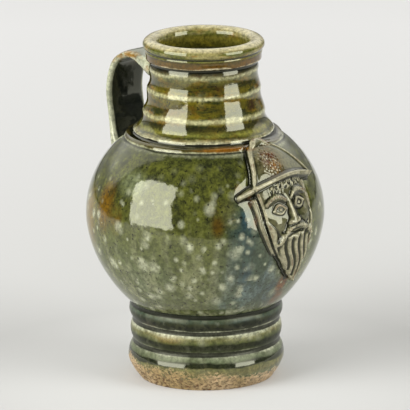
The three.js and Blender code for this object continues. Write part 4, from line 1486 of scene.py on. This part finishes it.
    def _clay(self, node: Adder, feed: Feed) -> list[Layer]:
        """Bare, toasted clay below the glaze, with iron grit about 1 mm wide."""
        toasted = node("Math", TIMES, (feed["bare"], feed["grit"]))
        stained = node("Math", TIMES, (feed["bare"], feed["mottle"]))
        greened = node("Math", TIMES, (stained, 0.3))
        cloudy = node("Math", TIMES, (feed["bare"], feed["cloud"]))
        paled = node("Math", TIMES, (cloudy, 0.75))
        return [(feed["bare"], linear(self.clay)), (paled, linear(self.bisque)),
                (greened, linear(self.gold)), (toasted, linear(self.grit))]


@dataclass(frozen=True)
class MattPaper:
    """Uncoated seamless paper: matt white stock, unrolled and rubbed flat by hand.

    Its colour is painted lighter just round the carafe's foot, against the shadow there, and lighter again
    farther out, as painted light on the sweep. Its far end lies outside the pool of light, so its colour
    falls off there, and past its front edge the floor is painted dark, as shade of the unlit room in front.

    Fields:
        painted_light_shades: distance from the carafe in metres, with the colour there, lighter round the
            foot and farther out as painted light.
        edge_bearing: which way the paper's front edge faces, degrees.
        edge: how far out that way the paper ends and the painted shade is in full view, m.
    """

    # Lighter round the foot, as painted light against the shadow there, and lighter out to 0.75 m, as
    # painted light on the sweep; dark at the far end, outside the pool of light.
    painted_light_shades: tuple[tuple[float, str], ...] = ((0.05, "C0C0BE"), (0.12, "B0B0AE"), (0.75, "CACACA"),
                                             (1.0, "CACACA"), (2.2, "2E2E2D"))
    roughness: float = 0.9
    # Painted shade: the floor past the paper's front edge is dark, for the unlit room in front.
    unlit_front_shade: str = "1E1D1B"
    edge_bearing: float = -18.5
    edge: Pair = (0.34, 0.42)

    def build(self) -> bpy.types.Material:
        """Makes the paper's node material.

        Returns:
            The material.
        """
        material = bpy.data.materials.new("matt_paper")
        material.use_nodes = True
        material.node_tree.nodes.clear()
        node = partial(add_node, material.node_tree)
        place = node("TexCoord", {}, (), "Object")
        away = node("VectorMath", {"operation": "LENGTH"}, (place,), "Value")
        reach = self.painted_light_shades[-1][0]
        share = node("MapRange", {}, (away, 0, reach))
        colour = node("ValToRGB", {}, (share,))
        fill_ramp(colour, [(far / reach, linear(shade)) for far, shade in self.painted_light_shades])
        turn = math.radians(self.edge_bearing)
        facing = (math.sin(turn), -math.cos(turn), 0)
        forward = node("VectorMath", DOT, (place, facing), "Value")
        # The floor past the front edge takes the painted shade.
        into_front_shade = node("MapRange", EASE, (forward, *self.edge))
        covered = node("Mix", LAYER, {0: into_front_shade, 6: colour, 7: linear(self.unlit_front_shade)}, 2)
        shader = node("BsdfPrincipled", {}, {"Base Color": covered, "Roughness": self.roughness})
        node("OutputMaterial", {}, {"Surface": shader}, None)
        return material


@dataclass(frozen=True)
class Softbox:
    """A rectangular softbox that faces the belly.

    Fields:
        name: the light's name.
        bearing: degrees to the right of the camera, seen from the carafe.
        elevation: degrees up from the belly.
        distance: how far off it is, m.
        size: width and height, m.
        power: W.
        spin: degrees about the way it faces.
    """

    name: str
    bearing: float
    elevation: float
    distance: float
    size: Pair
    power: float
    spin: float


@dataclass
class Studio:
    """The pale sweep, the softboxes and the camera.

    The camera's place is worked out from the photograph: how flat its rim's ellipse is, and where
    the lip and the foot fall in the frame.

    Fields:
        bearing: which way the camera stands from the carafe, degrees round from the mask.
        distance: how far out it stands, m.
        height: how high, m.
        aim_level: height that it looks at, m.
        focal_pixels: focal length in pixels of the photograph.
        frame_pixels: width of that photograph.
        sensor: width of the sensor, mm.
        roll: how far the camera leans, radians.
        backdrop_glow: how bright the backdrop behind the carafe is in the glaze.
        backdrop_edge: where it starts and is full, as a share of the way to the back.
        backdrop_rise: how far its edge slopes up.
        canopy_glow: how bright the canopy is, high up behind.
        canopy_edge: height of the sky where it starts and is full.
        room_glow: how bright the rest is in the glaze.
        dome_glow: how bright the sky is for matt surfaces.
        seen_glow: how bright it is to the camera.
        sweep_half: half the width of the paper's mesh, mm.
    """

    bearing: float = -43.5
    distance: float = 2.970
    height: float = 0.85068
    aim_level: float = 0.08293
    focal_pixels: float = 6423.5
    frame_pixels: int = 410
    sensor: float = 36.0
    roll: float = -0.0087
    clip_end: float = 20.0
    softboxes: tuple[Softbox, ...] = (
        Softbox("softbox_left", -57, 17, 2.0, (1.6, 2.1), 80, 12),
        Softbox("softbox_right", 60, 14, 2.0, (1.25, 1.8), 52, -8),
    )
    paper: MattPaper = MattPaper()
    sweep_half: float = 4000.0
    sky_colour: str = "F7F6F2"
    backdrop_glow: float = 0.42
    room_glow: float = 0.14
    backdrop_edge: Pair = (-0.48, -0.56)
    backdrop_rise: float = 0.5
    canopy_glow: float = 1.7
    canopy_edge: Pair = (0.12, 0.4)
    seen_glow: float = 0.72
    dome_glow: float = 0.95

    def _around(self, bearing: float, elevation: float, distance: float) -> Vector:
        """A place that far from the belly, bearing degrees right of the camera."""
        turn = math.radians(self.bearing + bearing)
        flat = distance * math.cos(math.radians(elevation))
        return Vector((flat * math.sin(turn), -flat * math.cos(turn),
                       self.aim_level + distance * math.sin(math.radians(elevation))))

    def _aimed(self, place: Vector, spin: float) -> Euler:
        """Rotation that looks from a place at the belly, spun in radians about that line."""
        towards = Vector((0, 0, self.aim_level)) - place
        facing = towards.to_track_quat("-Z", "Y").to_matrix()
        return (facing @ Euler((0, 0, spin)).to_matrix()).to_euler()

    def _light(self, box: Softbox) -> None:
        """Adds the light of one softbox."""
        light = bpy.data.lights.new(box.name, "AREA")
        light.shape = "RECTANGLE"
        light.size, light.size_y = box.size
        light.energy = box.power
        lamp = bpy.data.objects.new(box.name, light)
        lamp.location = self._around(box.bearing, box.elevation, box.distance)
        lamp.rotation_euler = self._aimed(lamp.location, math.radians(box.spin))
        bpy.context.scene.collection.objects.link(lamp)

    def build(self) -> None:
        """Makes the floor, the lights and the camera."""
        scene = bpy.context.scene
        scene.view_settings.view_transform = "Standard"
        for box in self.softboxes:
            self._light(box)
        self._surroundings()
        self._floor()
        self._camera()

    def _surroundings(self) -> None:
        """Lights the room with an even dome of soft light.

        The glaze mirrors it as dark on the camera's side, as a pale backdrop behind the carafe, and as
        a brighter canopy high up behind.
        """
        world = bpy.data.worlds.new("studio")
        world.use_nodes = True
        tree = world.node_tree
        tree.nodes.clear()
        node = partial(add_node, tree)
        turn = math.radians(self.bearing)
        way = node("TexCoord", {}, (), "Generated")
        forward = (math.sin(turn), -math.cos(turn), -self.backdrop_rise)
        front = node("VectorMath", DOT, (way, forward), "Value")
        up = node("SeparateXYZ", {}, (way,), "Z")
        pale = node("MapRange", EASE, (up, *self.canopy_edge, self.backdrop_glow, self.canopy_glow))
        glow = node("MapRange", EASE, (front, *self.backdrop_edge, self.room_glow, pale))
        rays = node("LightPath", {}, (), "Is Camera Ray")
        mirrored = rays.node.outputs["Is Glossy Ray"]
        fallen = node("Mix", {}, {0: mirrored, 2: self.dome_glow, 3: glow})
        strength = node("Mix", {}, {0: rays, 2: fallen, 3: self.seen_glow})
        shown = node("Background", {}, {"Color": linear(self.sky_colour), "Strength": strength})
        node("OutputWorld", {}, {"Surface": shown}, None)
        bpy.context.scene.world = world

    def _floor(self) -> None:
        """Adds the pale sweep of paper that the carafe stands on."""
        half = self.sweep_half
        corners = np.array([(-half, -half, 0), (half, -half, 0), (half, half, 0), (-half, half, 0)], float)
        floor = make_object("paper_sweep", corners, [(0, 1, 2, 3)])
        floor.data.materials.append(self.paper.build())

    def _camera(self) -> None:
        """Adds the camera at the photograph's viewing angle."""
        data = bpy.data.cameras.new("camera")
        data.sensor_width = self.sensor
        data.lens = self.focal_pixels / self.frame_pixels * self.sensor
        data.clip_end = self.clip_end
        camera = bpy.data.objects.new("camera", data)
        turn = math.radians(self.bearing)
        camera.location = (self.distance * math.sin(turn), -self.distance * math.cos(turn), self.height)
        camera.rotation_euler = self._aimed(camera.location, self.roll)
        bpy.context.scene.collection.objects.link(camera)
        bpy.context.scene.camera = camera


def main() -> None:
    """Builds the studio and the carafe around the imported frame."""
    logging.basicConfig(level=logging.INFO, format="%(message)s")
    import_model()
    Studio().build()
    carafe = Carafe()
    piece = carafe.build()
    piece.data.materials.clear()
    piece.data.materials.append(SaltGlaze().build(carafe.pot))
    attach(piece, "root")
    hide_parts("carafe")
    LOG.info("%s: %d faces", piece.name, len(piece.data.polygons))


if __name__ == "__main__":
    main()
